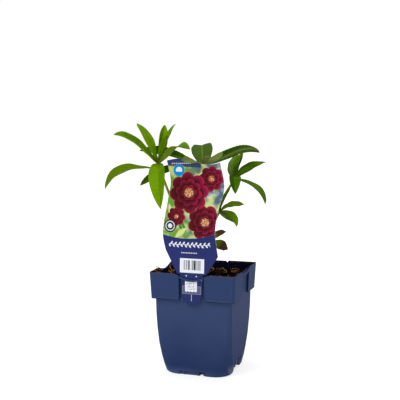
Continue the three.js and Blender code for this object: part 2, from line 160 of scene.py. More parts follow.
def grain(where, scale, detail=2.0, roughness=0.5, distortion=0.0):
    # soft noise around 0.5; scale is cells a metre where where is a place
    node = where.tree.nodes.new("ShaderNodeTexNoise")
    plug(where, node.inputs["Vector"])
    node.inputs["Scale"].default_value = scale
    node.inputs["Detail"].default_value = detail
    node.inputs["Roughness"].default_value = roughness
    node.inputs["Distortion"].default_value = distortion
    return Field(where.tree, node.outputs["Fac"])


def cells(where, scale):
    # how far each place is from the middle of its cell
    node = where.tree.nodes.new("ShaderNodeTexVoronoi")
    plug(where, node.inputs["Vector"])
    node.inputs["Scale"].default_value = scale
    return Field(where.tree, node.outputs["Distance"])


def newFinish(name, roughness, specular, gleam=(1, 1, 1, 1)):
    # a finish, and the place field to build it with; gleam is the tint of what the surface mirrors
    finish = bpy.data.materials.new(name)
    finish.use_nodes = True
    shader = finish.node_tree.nodes["Principled BSDF"]
    shader.inputs["Roughness"].default_value = roughness
    shader.inputs["Specular IOR Level"].default_value = specular
    shader.inputs["Specular Tint"].default_value = gleam
    places = finish.node_tree.nodes.new("ShaderNodeTexCoord")
    return finish, Field(finish.node_tree, places.outputs["Object"])


def dressed(finish, colour, relief, reliefHeight, roughness=None):
    # gives a finish its colour, its fine relief (its height in metres) and its roughness, if that varies
    shader = finish.node_tree.nodes["Principled BSDF"]
    plug(colour, shader.inputs["Base Color"])
    node = relief.tree.nodes.new("ShaderNodeBump")
    node.inputs["Distance"].default_value = reliefHeight
    plug(relief, node.inputs["Height"])
    relief.tree.links.new(node.outputs["Normal"], shader.inputs["Normal"])
    if roughness is not None:
        plug(roughness, shader.inputs["Roughness"])
    return finish


# Small tools for meshes.

def pieceFrom(name, vertices, faces, finishes, finishOfFace=None, uvMaps=None):
    # uvMaps: {name: one (u, v) for each vertex}
    mesh = bpy.data.meshes.new(name)
    mesh.from_pydata([tuple(v) for v in vertices], [], faces)
    for finish in finishes:
        mesh.materials.append(finish)
    if finishOfFace is not None:
        mesh.polygons.foreach_set("material_index", np.asarray(finishOfFace, np.int32))
    mesh.polygons.foreach_set("use_smooth", [True] * len(mesh.polygons))
    corner = np.zeros(len(mesh.loops), np.int32)
    mesh.loops.foreach_get("vertex_index", corner)
    for mapName, places in (uvMaps or {}).items():
        layer = mesh.uv_layers.new(name=mapName)
        layer.uv.foreach_set("vector", np.asarray(places, np.float32)[corner].ravel())
    mesh.validate()
    piece = bpy.data.objects.new(name, mesh)
    bpy.context.scene.collection.objects.link(piece)
    return piece


class MeshParts:
    # collects vertices and faces of several shapes into one mesh
    def __init__(self, mapNames):
        self.vertices = []
        self.faces = []
        self.finishOfFace = []
        self.maps = {name: [] for name in mapNames}

    def add(self, vertices, faces, finish, **maps):
        start = len(self.vertices)
        self.vertices.extend(vertices)
        self.faces.extend([tuple(start + i for i in face) for face in faces])
        self.finishOfFace.extend([finish] * len(faces) if isinstance(finish, int) else finish)
        for name, places in maps.items():
            self.maps[name].extend(places)

    def piece(self, name, finishes):
        return pieceFrom(name, self.vertices, self.faces, finishes, self.finishOfFace, self.maps)


def gridFaces(rows, columns, start=0, flip=False):
    faces = []
    for i in range(rows - 1):
        for j in range(columns - 1):
            a = start + i * columns + j
            face = (a, a + 1, a + columns + 1, a + columns)
            faces.append(face[::-1] if flip else face)
    return faces


def sheetFaces(rows, columns, flip=False):
    # the faces of a thin sheet: its front grid, its back grid after that, and the rim between them
    count = rows * columns
    faces = gridFaces(rows, columns, flip=flip) + gridFaces(rows, columns, start=count, flip=not flip)
    rim = [i * columns for i in range(rows)]
    rim += [count - columns + j for j in range(1, columns)]
    rim += [(rows - 1 - i) * columns + columns - 1 for i in range(1, rows)]
    rim += [columns - 1 - j for j in range(1, columns - 1)]
    for a, b in zip(rim, rim[1:] + rim[:1]):
        faces.append((b, a, a + count, b + count) if flip else (a, b, b + count, a + count))
    return faces


def ringFaces(rings, sides):
    # the faces of a tube of rings, closed at both ends
    faces = []
    for i in range(rings - 1):
        for j in range(sides):
            a = i * sides + j
            b = i * sides + (j + 1) % sides
            faces.append((a, b, b + sides, a + sides))
    faces.append(tuple(range(sides))[::-1])
    faces.append(tuple((rings - 1) * sides + j for j in range(sides)))
    return faces


def tubeShape(path, radius, sides, ribs=0.0):
    # radius has one value for each point of the path; ribs is how far five lengthwise ribs stand out
    lean = np.eye(3)[np.argmin(np.abs(path[-1] - path[0]))]
    forward = np.gradient(path, axis=0)
    forward /= np.linalg.norm(forward, axis=1)[:, None]
    side = np.cross(lean, forward)
    side /= np.linalg.norm(side, axis=1)[:, None]
    up = np.cross(forward, side)
    angle = np.arange(sides) / sides * 2 * math.pi
    around = np.cos(angle)[:, None] * side[:, None, :] + np.sin(angle)[:, None] * up[:, None, :]
    reach = radius[:, None] * (1 + ribs * np.cos(5 * angle))[None, :]
    vertices = path[:, None, :] + around * reach[:, :, None]
    return vertices.reshape(-1, 3), ringFaces(len(path), sides)


def ballShape(rings, sides):
    polar = np.arange(1, rings) / rings * math.pi
    angle = np.arange(sides) / sides * 2 * math.pi
    x = np.outer(np.sin(polar), np.cos(angle))
    y = np.outer(np.sin(polar), np.sin(angle))
    z = np.outer(-np.cos(polar), np.ones(sides))
    return np.stack([x, y, z], 2).reshape(-1, 3), ringFaces(rings - 1, sides)


# The five leaves. A leaflet's numbers are: azimuth, rise, droop, bend, length, width, roll, swerve.
# azimuth 0 is +X and 90 is +Y; rise is its slope at the hub; droop is how much that slope falls by the tip,
# and bend where it falls; roll turns the blade about its midrib; swerve turns it sideways. Angles are in
# degrees. After them come the leaflet's own settings, where they differ from leafletUsual. It may also set
# tone (higher is brighter) and depth (of its teeth).

plantForm = {
    "soilLevel": 0.0968,
    "rootDepth": 0.009,
    "stalkRadius": (0.0019, 0.00115),  # at the soil and at the hub
    "hubRadius": 0.0017,
    "rootHalfWidth": 0.0009,
    "tipHalfWidth": 0.0002,
    "thickness": (0.0013, 0.00045),  # at a leaflet's root and over its blade
}

leafletUsual = {
    "fold": 20,  # how steeply the two halves rise from the midrib
    "twist": 0,  # how much more the blade is rolled at its tip
    "shoulder": 1.4,  # with less than this the blade is broader near its root
    "below": 0,  # how far the root is under the hub
    "halves": 0.3,  # how much lighter one half is: painted light and shade, one half of the blade drawn lit and the other shaded
    "grey": 0,  # a pale grey-green over the whole blade, 0 to 1: partly the leaf's waxy bloom, partly painted sheen
    "stripe": 0,  # the same pale grey-green along one line, 0 to 1: painted sheen along the midrib
    "stripeDrift": 0,  # how far that line goes across the blade
    "dark": False,  # both faces have the upper finish
}

# A leaflet's tone is partly its own shade of green and partly painted shade: it is set lower for leaflets
# that lie in shadow.
fronds = {
    "leaf_left": {
        "hub": (-0.036, -0.041, 0.215),
        "stalk": [(-0.012, -0.004), (-0.016, -0.018, 0.142), (-0.0265, -0.034, 0.184)],
        "teeth": (17, 0.02),  # how many to a side, and their depth as a share of the width
        "young": 0.78,
        "leaflets": [
            (240, 39, 38, 2.2, 0.065, 0.0145, -71, 8, {"twist": 39, "tone": 0.65}),
            (151, 56, 21, 1.6, 0.055, 0.0148, 4, -7, {"twist": 10, "tone": 0.7}),
            (95, 52, 10, 1.3, 0.053, 0.0092, 50, 8, {"twist": -30, "tone": 0.45, "halves": -0.3}),
            (78, 66, 20, 1.4, 0.034, 0.007, 50, 5, {"tone": 0.35}),
            (77, 59, 25, 1.7, 0.053, 0.008, -10, 3, {"twist": -11, "tone": 0.15}),
            (338, 39, 74, 2.5, 0.052, 0.0098, -81, -10, {"twist": 150, "tone": 0.15, "grey": 0.15}),
            (287, -2, 50, 0.75, 0.078, 0.0165, 5, 13, {
                "twist": 25, "shoulder": 0.8, "tone": 0.6, "halves": -0.25}),
            (235, 5, 65, 2.4, 0.075, 0.0162, 27, 21, {
                "fold": 14, "twist": 40, "shoulder": 2.4, "below": 0.0045, "tone": 0.9, "halves": 0.15}),
        ],
    },
    "leaf_middle": {
        "hub": (0.005, -0.024, 0.214),
        "stalk": [(-0.010, 0.006), (-0.007, -0.005, 0.150), (0.000, -0.018, 0.190)],
        "teeth": (20, 0.06),
        "young": 0.25,
        "leaflets": [
            (108, 44, 59, 1.9, 0.047, 0.0217, -1, 1, {
                "fold": 13, "twist": -10, "shoulder": 0.76, "grey": 0.2, "tone": 0.1, "depth": 0.01}),
            (51, 15, 25, 2.4, 0.081, 0.0185, -87, 13, {
                "twist": 74, "tone": 0.9, "stripe": 1, "stripeDrift": -1.3, "depth": 0.05, "dark": True}),
            (177, 17, 19, 1.8, 0.076, 0.0165, -27, -14, {"shoulder": 1.7, "tone": -0.5}),
            (185, -4, 35, 1.4, 0.070, 0.0136, -10, 1, {"twist": -47, "tone": 0.2}),
            (268, 19, 19, 0.8, 0.0378, 0.0115, 10, -25, {
                "fold": 14, "twist": -65, "shoulder": 1.7, "grey": 0.9, "tone": 0.6}),
            (320, 30, 14, 1.4, 0.020, 0.0090, -28, -1, {"shoulder": 1.0, "grey": 0.8, "tone": 0.6}),
            (327, 8, -38, 1.5, 0.036, 0.0095, -15, -6, {"grey": 0.8, "tone": 0.5}),
        ],
    },
    "leaf_right": {
        "hub": (0.030, 0.010, 0.199),
        "stalk": [(-0.0045, 0.004), (0.002, 0.0085, 0.140), (0.0144, 0.0138, 0.175)],
        "teeth": (18, 0.015),
        "young": 0.42,
        "leaflets": [
            (110, 29, -7, 1.3, 0.045, 0.015, -39, -15, {
                "twist": 29, "shoulder": 0.8, "tone": 0.25, "grey": 0.4}),
            (92, 49, 33, 1.3, 0.044, 0.012, -28, 4, {"tone": 0.5}),
            (54, 30, 24, 1.5, 0.045, 0.0135, 23, 0, {"twist": -10, "shoulder": 1.0, "tone": 0.95}),
            (332, -12, 59, 2.0, 0.049, 0.0145, 20, 5, {
                "twist": -40, "shoulder": 1.7, "grey": 0.1, "tone": 0.3}),
            (283, 13, 73, 1.5, 0.050, 0.0122, -22, 5, {"twist": 26, "shoulder": 1.15, "tone": 0.35}),
        ],
    },
    "leaf_low": {
        "hub": (0.017, -0.005, 0.165),
        "stalk": [(-0.004, -0.004), (0.002, -0.005, 0.130)],
        "teeth": (15, 0.02),
        "young": 0.5,
        "leaflets": [
            (32, 37, 41, 0.9, 0.0277, 0.0144, -15, -20, {
                "fold": 14, "twist": -28, "shoulder": 0.7, "tone": 0.8}),
            (335, 10, 82, 1.4, 0.0348, 0.0095, 10, -25, {
                "fold": 14, "twist": -22, "shoulder": 1.0, "tone": 1.5}),
            (26, 69, 12, 1.3, 0.0265, 0.0065, 14, 0, {"tone": 0.5}),
            (329, -20, 7, 1.2, 0.024, 0.008, -95, 3, {
                "twist": 45, "shoulder": 0.9, "tone": 0.2, "grey": 0.4}),
            (135, 35, 50, 1.2, 0.034, 0.011, 0, 0),
            (236, 15, 50, 1.2, 0.028, 0.011, 10, 0),
        ],
    },
    "leaf_old": {
        "hub": (0.0115, -0.016, 0.136),
        "stalk": [(-0.008, -0.009), (-0.002, -0.012, 0.116)],
        "teeth": (11, 0.13),
        "young": 0.45,
        "leaflets": [
            (18, 43, 28, 1.4, 0.0185, 0.0112, -43, -2, {"shoulder": 1.3, "tone": 0.5}),
            (13, -31, -12, 1.4, 0.0195, 0.0157, 48, 4, {"twist": -19, "tone": 1.0}),
            (195, 20, 40, 1.2, 0.024, 0.010, 0, 0),
            (250, 10, 40, 1.2, 0.022, 0.010, 0, 0),
        ],
    },
}

bladeDetail = {
    "rows": 80,
    "columns": 14,
    "toothedFrom": 0.3,
    "veinPairs": 11,
    "veinLean": 2.6,
    "quilting": 0.00005,  # how far the blade swells between its side veins
    "groove": (0.00022, 0.0005),  # depth and half width, along the midrib on the upper face
    "ridge": (0.00045, 0.0006),  # height and half width, along the midrib below
    "marginWave": 0.018,  # as a share of the width
    "fades": (0.12, 0.1),  # the shares of the length, at the root and the tip, where all these fade
    "valleyRounding": 0.14,  # of the fold along the midrib, as a share of the half width
    "edgeThinning": 0.65,  # how much thinner the blade is at its edge
    "stripeWidth": 0.15,
    "halvesBlend": 0.15,  # how softly one half's painted light passes into the other half's painted shade
}


def midribFrames(leaflet, own, hub, rows):
    azimuth, rise, droop, bend, length, _, roll, swerve = leaflet[:8]

    def forwardAt(s):
        slope = np.radians(rise - droop * s ** bend)
        heading = np.radians(azimuth + swerve * s)
        return np.stack([np.cos(slope) * np.cos(heading), np.cos(slope) * np.sin(heading), np.sin(slope)], 1)

    s = np.linspace(0, 1, rows)
    steps = forwardAt((s[1:] + s[:-1]) / 2) * length / (rows - 1)
    root = np.array(hub) - (0, 0, own["below"])
    points = root + np.vstack([np.zeros(3), np.cumsum(steps, 0)])
    heading = np.radians(azimuth + swerve * s)
    side = np.stack([-np.sin(heading), np.cos(heading), np.zeros(rows)], 1)
    up = np.cross(forwardAt(s), side)
    turn = np.radians(roll + own["twist"] * s)[:, None]
    return s, points, side * np.cos(turn) + up * np.sin(turn), up * np.cos(turn) - side * np.sin(turn)


def bladeHalfWidth(s, width, rise, teeth, depth):
    # lance-shaped, with forward-pointing teeth
    fall = 0.85
    widest = rise / (rise + fall)
    full = widest ** rise * (1 - widest) ** fall
    smoothWidth = width / 2 * s ** rise * (1 - s) ** fall / full
    saw = 1 - depth * (1 - (s * teeth) % 1)
    toothed = np.clip((s - bladeDetail["toothedFrom"]) / 0.1, 0, 1)
    least = plantForm["tipHalfWidth"]
    return np.maximum(smoothWidth * (1 + (saw - 1) * toothed) + plantForm["rootHalfWidth"] * (1 - s), least)


def addBlade(parts, leaflet, frond, draw):
    detail = bladeDetail
    own = leafletUsual | dict(*leaflet[8:])
    width = leaflet[5]
    rows, columns = detail["rows"], detail["columns"] + 1
    s, points, side, up = midribFrames(leaflet, own, frond["hub"], rows)
    teeth, toothDepth = frond["teeth"]
    half = bladeHalfWidth(s, width, own["shoulder"], teeth, own.get("depth", toothDepth))[:, None]
    along = s[:, None]
    u = np.linspace(-1, 1, columns)[None, :]  # across the blade, 0 at the midrib
    rootFade, tipFade = detail["fades"]
    body = np.clip(along / rootFade, 0, 1) * np.clip((1 - along) / tipFade, 0, 1)

    # how far each place is lifted out of the plane of the leaflet
    fold = math.radians(own["fold"])
    rounding = detail["valleyRounding"]
    valley = (np.sqrt(u ** 2 + rounding ** 2) - rounding) / (math.sqrt(1 + rounding ** 2) - rounding)
    phase = along * detail["veinPairs"] - np.abs(u) * detail["veinLean"]
    swell = detail["quilting"] * np.sin(math.pi * (phase % 1)) * np.sin(math.pi * np.abs(u)) * body
    start = draw.uniform(0, 6.28)
    waves = draw.uniform(2.2, 3.4)
    wave = detail["marginWave"] * width * np.sin(start + 6.28 * waves * along + 2 * np.sign(u))
    lift = half * math.sin(fold) * valley + swell + wave * np.abs(u) ** 3 * body

    # the two faces of the blade
    root, blade = plantForm["thickness"]
    thick = root + (blade - root) * np.clip(along / 0.2, 0, 1)
    thick = thick * (1 - detail["edgeThinning"] * np.abs(u) ** 3)
    fromMidrib = np.abs(u) * half
    depth, reach = detail["groove"]
    groove = depth * np.exp(-(fromMidrib / reach) ** 2) * body
    height, reach = detail["ridge"]
    ridge = height * np.exp(-(fromMidrib / reach) ** 2) * body * (1 - 0.6 * along)
    middle = points[:, None, :] + side[:, None, :] * (u * half * math.cos(fold))[:, :, None]
    top = middle + up[:, None, :] * (lift + thick / 2 - groove)[:, :, None]
    bottom = middle + up[:, None, :] * (lift - thick / 2 - ridge)[:, :, None]
    faces = sheetFaces(rows, columns, flip=True)
    quads = (rows - 1) * (columns - 1)
    finish = [0] * quads + [0 if own["dark"] else 1] * quads + [0] * (len(faces) - 2 * quads)

    # where each place is on the blade, how light it is (its tone, which holds painted light and shade) and
    # how much pale grey-green of waxy bloom and painted sheen it has
    places = np.stack([np.broadcast_to(0.5 + u / 2, (rows, columns)).ravel(), np.repeat(s, columns)], 1)
    tone = own.get("tone", draw.uniform(0.2, 0.8))
    # painted light and shade: one half of the blade lighter than the other
    tones = tone + own["halves"] * np.tanh(u / detail["halvesBlend"]) * body
    fromStripe = u - own["stripeDrift"] * (along - 0.3)
    stripe = own["stripe"] * np.exp(-(fromStripe / detail["stripeWidth"]) ** 2) * body
    grey = np.clip(own["grey"] + stripe, 0, 1)
    parts.add(
        np.vstack([top.reshape(-1, 3), bottom.reshape(-1, 3)]), faces, finish,
        blade=np.tile(places, (2, 1)),
        leafletTint=np.tile(np.stack([tones.ravel(), grey.ravel()], 1), (2, 1)),
    )


def smoothPath(points, steps):
    # a centripetal Catmull-Rom curve through the points
    points = [np.array(p, float) for p in points]
    points = [2 * points[0] - points[1], *points, 2 * points[-1] - points[-2]]
    path = []
    for p0, p1, p2, p3 in zip(points, points[1:], points[2:], points[3:]):
        d0, d1, d2 = (math.sqrt(np.linalg.norm(b - a)) for a, b in ((p0, p1), (p1, p2), (p2, p3)))
        m1 = d1 * ((p1 - p0) / d0 - (p2 - p0) / (d0 + d1) + (p2 - p1) / d1)
        m2 = d1 * ((p2 - p1) / d1 - (p3 - p1) / (d1 + d2) + (p3 - p2) / d2)
        for t in np.arange(steps) / steps:
            cubic = (2 * t ** 3 - 3 * t ** 2 + 1) * p1 + (t ** 3 - 2 * t ** 2 + t) * m1
            path.append(cubic + (3 * t ** 2 - 2 * t ** 3) * p2 + (t ** 3 - t ** 2) * m2)
    return np.array(path + [points[-2]])


def addStalk(parts, frond):
    foot, *between = frond["stalk"]
    level = plantForm["soilLevel"]
    path = smoothPath([
        (*foot, level - plantForm["rootDepth"]),
        (*foot, level + 0.002),
        *between,
        frond["hub"],
    ], 14)
    sides = 14
    t = np.linspace(0, 1, len(path))
    low, high = plantForm["stalkRadius"]
    flare = 1 + 0.35 * np.exp(-((path[:, 2] - level) / 0.004) ** 2)  # the stalk's clasping foot
    collar = 1 + 0.35 * np.exp(-((1 - t) / 0.03) ** 2)  # thicker where the leaflets part
    vertices, faces = tubeShape(path, (low + (high - low) * t) * flare * collar, sides, ribs=0.04)
    around = np.tile(np.arange(sides) / sides, len(path))
    parts.add(
        vertices, faces, 2,
        blade=np.stack([around, np.repeat(t, sides)], 1),
        leafletTint=[(0.5, 0)] * len(vertices),
    )


def addHub(parts, frond):
    # the knuckle at the top of the stalk
    ball, faces = ballShape(8, 14)
    parts.add(
        np.array(frond["hub"]) + ball * plantForm["hubRadius"], faces, 2,
        blade=[(0.5, 1.0)] * len(ball),
        leafletTint=[(0.5, 0)] * len(ball),
    )


leafColours = {
    "deep": srgb(36, 70, 0),
    "middle": srgb(60, 97, 0),
    "bright": srgb(102, 140, 0),
    "rib": srgb(118, 146, 14),
    "under": srgb(100, 126, 14),
    # the pale grey-green of the waxy bloom and of painted sheen
    "bloomAndSheen": srgb(118, 130, 74),
    # the brownish dark green of the leaflets' roots, with painted shade where they crowd at the hub
    "rootBrownAndShade": srgb(56, 58, 10),
    "yellowed": srgb(112, 108, 24),
    "brown": srgb(80, 58, 40),
    "stalk": srgb(122, 138, 30),
    "stalkFoot": srgb(116, 60, 44),
}


def leafFinish(name, young, browned, underside):
    finish, place = newFinish(name, 0.42, 0.01, gleam=(0.8, 1.0, 0.12, 1))
    colours = leafColours
    across, along = uvFields(place, "blade")
    tint, bloomAndSheen = uvFields(place, "leafletTint")
    fromRib = abs(across * 2 - 1)
    rib = smooth(fromRib, 0.085, 0.02)
    phase = along * bladeDetail["veinPairs"] - fromRib * bladeDetail["veinLean"]
    vein = smooth(abs(calc("FRACT", phase) - 0.5), 0.4, 0.49)
    soft = grain(place, 90, 3, 0.55)
    fine = grain(place, 900, 2, 0.5)
    # light follows each leaflet's tone, so it carries the painted light and shade of tone and halves
    light = tint * 0.35 + soft * 0.5 + along * 0.1 + (young - 0.45) - 0.06
    colour = painted(
        colours["deep"],
        (smooth(light, 0.12, 0.55), colours["middle"]),
        (smooth(light, 0.42, 0.98), colours["bright"]),
        # darker towards each leaflet's root: its own brownish base and painted shade at the hub
        (smooth(along, 0.24, 0.02) * 0.5, colours["rootBrownAndShade"]),
        (vein * 0.18, colours["rib"]),
        (rib * 0.45, colours["rib"]),
        (smooth(fromRib, 0.93, 1.0) * 0.35, colours["rib"]),
    )
    if underside:
        colour = blend(0.6, colour, colours["under"])
    if browned:
        edge = along + (grain(place, 160, 3, 0.6) - 0.5) * 0.5
        yellowed = (smooth(edge, 0.05, 0.4) * 0.6, colours["yellowed"])
        colour = painted(colour, yellowed, (smooth(edge, 0.42, 0.6), colours["brown"]))
    speckled = (smooth(fine, 0.55, 0.75) * 0.08, colours["rib"])
    # the pale grey-green: partly the leaf's waxy bloom, partly painted sheen
    colour = painted(colour, speckled, (bloomAndSheen * (0.55 + soft * 0.5), colours["bloomAndSheen"]))
    return dressed(finish, colour, soft, 0.0001, 0.36 + fine * 0.16 + (0.18 if underside else 0.0))


def stalkFinish():
    finish, place = newFinish("leafStalk", 0.45, 0.02, gleam=(0.8, 1.0, 0.2, 1))
    around, along = uvFields(place, "blade")
    streak = grain(vectorOf(around * 30, along * 4), 1.0, 3, 0.6)
    colour = painted(
        leafColours["stalk"],
        (smooth(streak, 0.3, 0.75) * 0.4, leafColours["middle"]),
        (smooth(along + streak * 0.2, 0.32, 0.08) * 0.75, leafColours["stalkFoot"]),
    )
    return dressed(finish, colour, streak, 0.0002)


stalkSkin = stalkFinish()
for nodeName, frond in fronds.items():
    draw = random.Random(nodeName)
    leafParts = MeshParts(["blade", "leafletTint"])
    addStalk(leafParts, frond)
    addHub(leafParts, frond)
    for leaflet in frond["leaflets"]:
        addBlade(leafParts, leaflet, frond, draw)
    isOld = nodeName == "leaf_old"
    pieceName = "hellebore_" + nodeName
    finishes = [
        leafFinish(pieceName + "_upper", frond["young"], isOld, False),
        leafFinish(pieceName + "_under", frond["young"], isOld, True),
        stalkSkin,
    ]
    leafPiece = leafParts.piece(pieceName, finishes)
    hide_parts(nodeName)
    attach(leafPiece, "root")
    print(pieceName, "has", len(frond["leaflets"]), "leaflets and", len(leafPiece.data.polygons), "faces")


# The pot: thin moulded plastic, softly rounded at its edges, scuffed and a little dusty, with painted light
# and shade in its colour.

potLook = {
    "edgeRadius": 0.0003,
    "edgeSteps": 2,
    "sharpFrom": 28,  # edges that turn by more degrees than this are rounded
    "flatBelow": 1,  # faces that meet at a smaller angle than this, in degrees, become one
    "joinWithin": 0.00001,
    # places of the colours, in millimetres
    "corner": (12.75, 78.8, 3.0),  # a corner block's edge from the middle of the side, its top, its rounding
    "drainMiddle": -1.8,
    "drainHalf": 14.1,
    "drainWall": (35.0, 35.35),  # the recessed wall, from the middle of the pot
    "drainFoot": 5.05,
    "slotMouth": (33.5, 34.2),  # painted shade in the mouth under the front and back drains
    "slotHeights": (3.5, 4.6),
    # painted light and shade: blue higher up the body, deep towards the foot, and rim, a little darker, on
    # the collar
    "blue": srgb(55, 69, 105),
    "deep": srgb(37, 52, 91),
    "rim": srgb(48, 63, 101),
    "scratch": srgb(70, 86, 126),
    # painted shade: the dark blue of the inner wall, the creases and the drain mouths
    "inside": srgb(14, 20, 46),
    # painted light: the lighter blue of the foot, more on the left
    "foot": srgb(66, 82, 121),
    # painted highlight: the paler low part of the right side
    "sideFootHighlight": srgb(86, 93, 120),
    # painted light: the paler walls of the drains
    "drainPaintedLight": srgb(88, 94, 120),
    "soilDust": srgb(84, 62, 46),
}


def potFinish():
    look = potLook
    finish, place = newFinish("potPlastic", 0.45, 0.008)
    x, y, z = axes(place, 1000)
    broad = grain(place, 22, 3, 0.5)
    fine = grain(place, 1600, 3, 0.6)
    # painted light: lighter near the foot, most on the left side
    paintedFootLight = smooth(z + broad * 8, 14, 4) * (0.3 + 0.6 * smooth(x, 25, 0))
    # painted highlight low on the right side
    sideFootHighlight = smooth(x, 33, 35) * smooth(z + broad * 8, 18, 10)
    # painted light: the walls of the drains drawn paler
    middle, half = look["drainMiddle"], look["drainHalf"]
    drainPaintedLight = between(abs(x), *look["drainWall"], 0.1) * smooth(z - look["drainFoot"], -0.15, 0.15)
    drainPaintedLight = drainPaintedLight * smooth(abs(y - middle) - half, 0.1, -0.1)
    # painted shade in the mouth under the front and back drains
    slotMouthShade = between(abs(y), *look["slotMouth"], 0.1) * between(z, *look["slotHeights"])
    slotMouthShade = slotMouthShade * smooth(abs(x - middle) - half, 0.1, -0.1)
    streak = grain(vectorOf(x * 1.4, y * 1.4, z * 0.05), 1.0, 2, 0.5)
    scuffed = smooth(streak, 0.66, 0.74) * smooth(grain(place, 55, 2), 0.5, 0.62)
    # painted shade: a dark line round the corner blocks, where they step back to the plain middle of each
    # side
    fromMiddle, blockTop, rounding = look["corner"]
    inBlock = calc("MINIMUM", abs(x), abs(y)) - fromMiddle
    overLedge = z - blockTop
    fromCorner = distance(rounding - inBlock, rounding - overLedge)
    atCorner = smooth(calc("MAXIMUM", inBlock, overLedge), rounding + 0.01, rounding)
    straight = calc("MINIMUM", inBlock, overLedge)
    toEdge = straight + atCorner * (rounding - fromCorner - straight)
    creaseShade = smooth(abs(toEdge - 0.1), 0.7, 0.4)
    # painted shade on the inside of the wall, the faces that face the middle of the pot
    facing = Field(place.tree, place.tree.nodes.new("ShaderNodeTexCoord").outputs["Normal"])
    outX, outY, _ = axes(facing)
    inside = smooth(x * outX + y * outY, -10, -30) * smooth(z, 60, 70)
    # crumbs of compost that stick to it
    wobble = grain(place, 500, 2) * 3
    speck = cells(vectorOf(x + wobble, y - wobble, z + wobble), 0.26)
    dustSpots = smooth(speck, 0.23, 0.12) * smooth(grain(place, 60, 1), 0.52, 0.58)
    dustSpots = dustSpots * (0.4 + 0.6 * smooth(z, 72, 80))
    rimDust = smooth(z, 102.6, 105.6) * smooth(grain(place, 240, 3), 0.46, 0.6)
    footDust = smooth(z, 9, 1) * smooth(grain(place, 300, 3), 0.6, 0.68)
    dusty = calc("MAXIMUM", dustSpots * 0.7, calc("MAXIMUM", rimDust * 0.6, footDust * 0.5))
    colour = painted(
        look["deep"],
        # painted light and shade: lighter up the body, a slightly darker collar
        (smooth(z + broad * 50, 25, 95), look["blue"]),
        (smooth(z, 79, 82), look["rim"]),
        (paintedFootLight, look["foot"]),
        (sideFootHighlight * 0.8, look["sideFootHighlight"]),
        (drainPaintedLight, look["drainPaintedLight"]),
        (slotMouthShade * 0.8, look["inside"]),
        (scuffed * 0.35, look["scratch"]),
        (creaseShade * 0.75, look["inside"]),
        (inside, look["inside"]),
        (dusty, look["soilDust"]),
    )
    relief = broad + fine * 0.03 + scuffed * 0.02
    return dressed(finish, colour, relief, 0.0008, 0.4 + broad * 0.14 + dusty * 0.3)


def finishPot():
    look = potLook
    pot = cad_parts["pot"]
    pot.data.materials.clear()
    pot.data.materials.append(potFinish())
    steps = [
        ("joined", "WELD", {"merge_threshold": look["joinWithin"]}),
        ("flattened", "DECIMATE", {
            "decimate_type": "DISSOLVE", "angle_limit": math.radians(look["flatBelow"])}),
        ("roundedEdges", "BEVEL", {
            "limit_method": "ANGLE", "angle_limit": math.radians(look["sharpFrom"]),
            "width": look["edgeRadius"], "segments": look["edgeSteps"]}),
        ("cleaned", "WELD", {"merge_threshold": look["joinWithin"]}),
        ("evenShading", "WEIGHTED_NORMAL", {"keep_sharp": False}),
    ]
    for name, kind, settings in steps:
        modifier = pot.modifiers.new(name, kind)
        for setting, value in settings.items():
            setattr(modifier, setting, value)
    print("pot finished")


finishPot()


# The plant label: a glossy printed card that stands in the slot of the rim. Its edges are (x, z) in metres:
# its tongue from the tip up, the neck over the rim, and its face.

labelForm = {
    "thickness": 0.0005,
    "slotY": -0.04325,
    "rim": 0.106,
    "leanBack": 0.045,
    "cup": 0.0014,
    "cupAcross": 0.03,
    "cupAbove": 0.04,
    "topWave": 0.0023,
    "wavyShare": 0.25,  # the share of the face, from its top, that waves
    "tongueRows": 28,
    "neckRows": 10,
    "faceRows": 56,
    "columns": 36,
    "left": (
        [(-0.0016, 0.0747), (-0.006, 0.0768), (-0.0094, 0.083), (-0.0118, 0.1052)],
        (-0.0154, 0.1061),
        [(-0.028, 0.1293), (-0.0316, 0.148), (-0.0264, 0.179), (-0.0236, 0.198), (-0.028, 0.2186)],
    ),
    "right": (
        [(0.0018, 0.0747), (0.0062, 0.0768), (0.0098, 0.083), (0.0118, 0.1052)],
        (0.0154, 0.106),
        [(0.0269, 0.1244), (0.0234, 0.148), (0.0264, 0.170), (0.032, 0.193), (0.0273, 0.2169)],
    ),
}


def evenCurve(points, count):
    # an even Catmull-Rom curve through the points, its end points doubled
    points = [np.array(p) for p in (points[0], *points, points[-1])]
    curve = []
    for place in np.linspace(0, len(points) - 3, count + 1):
        k = min(int(place), len(points) - 4)
        t = place - k
        p0, p1, p2, p3 = points[k:k + 4]
        m1, m2 = (p2 - p0) / 2, (p3 - p1) / 2
        bend = (2 * p1 - 2 * p2 + m1 + m2) * t ** 3 + (3 * p2 - 3 * p1 - 2 * m1 - m2) * t ** 2
        curve.append(bend + m1 * t + p1)
    return np.array(curve)


def labelY(x, z):
    above = np.maximum(z - labelForm["rim"], 0)
    cup = labelForm["cup"] * np.minimum(above / labelForm["cupAbove"], 1)
    cupped = cup * (x / labelForm["cupAcross"]) ** 2
    return labelForm["slotY"] + labelForm["leanBack"] * above + cupped


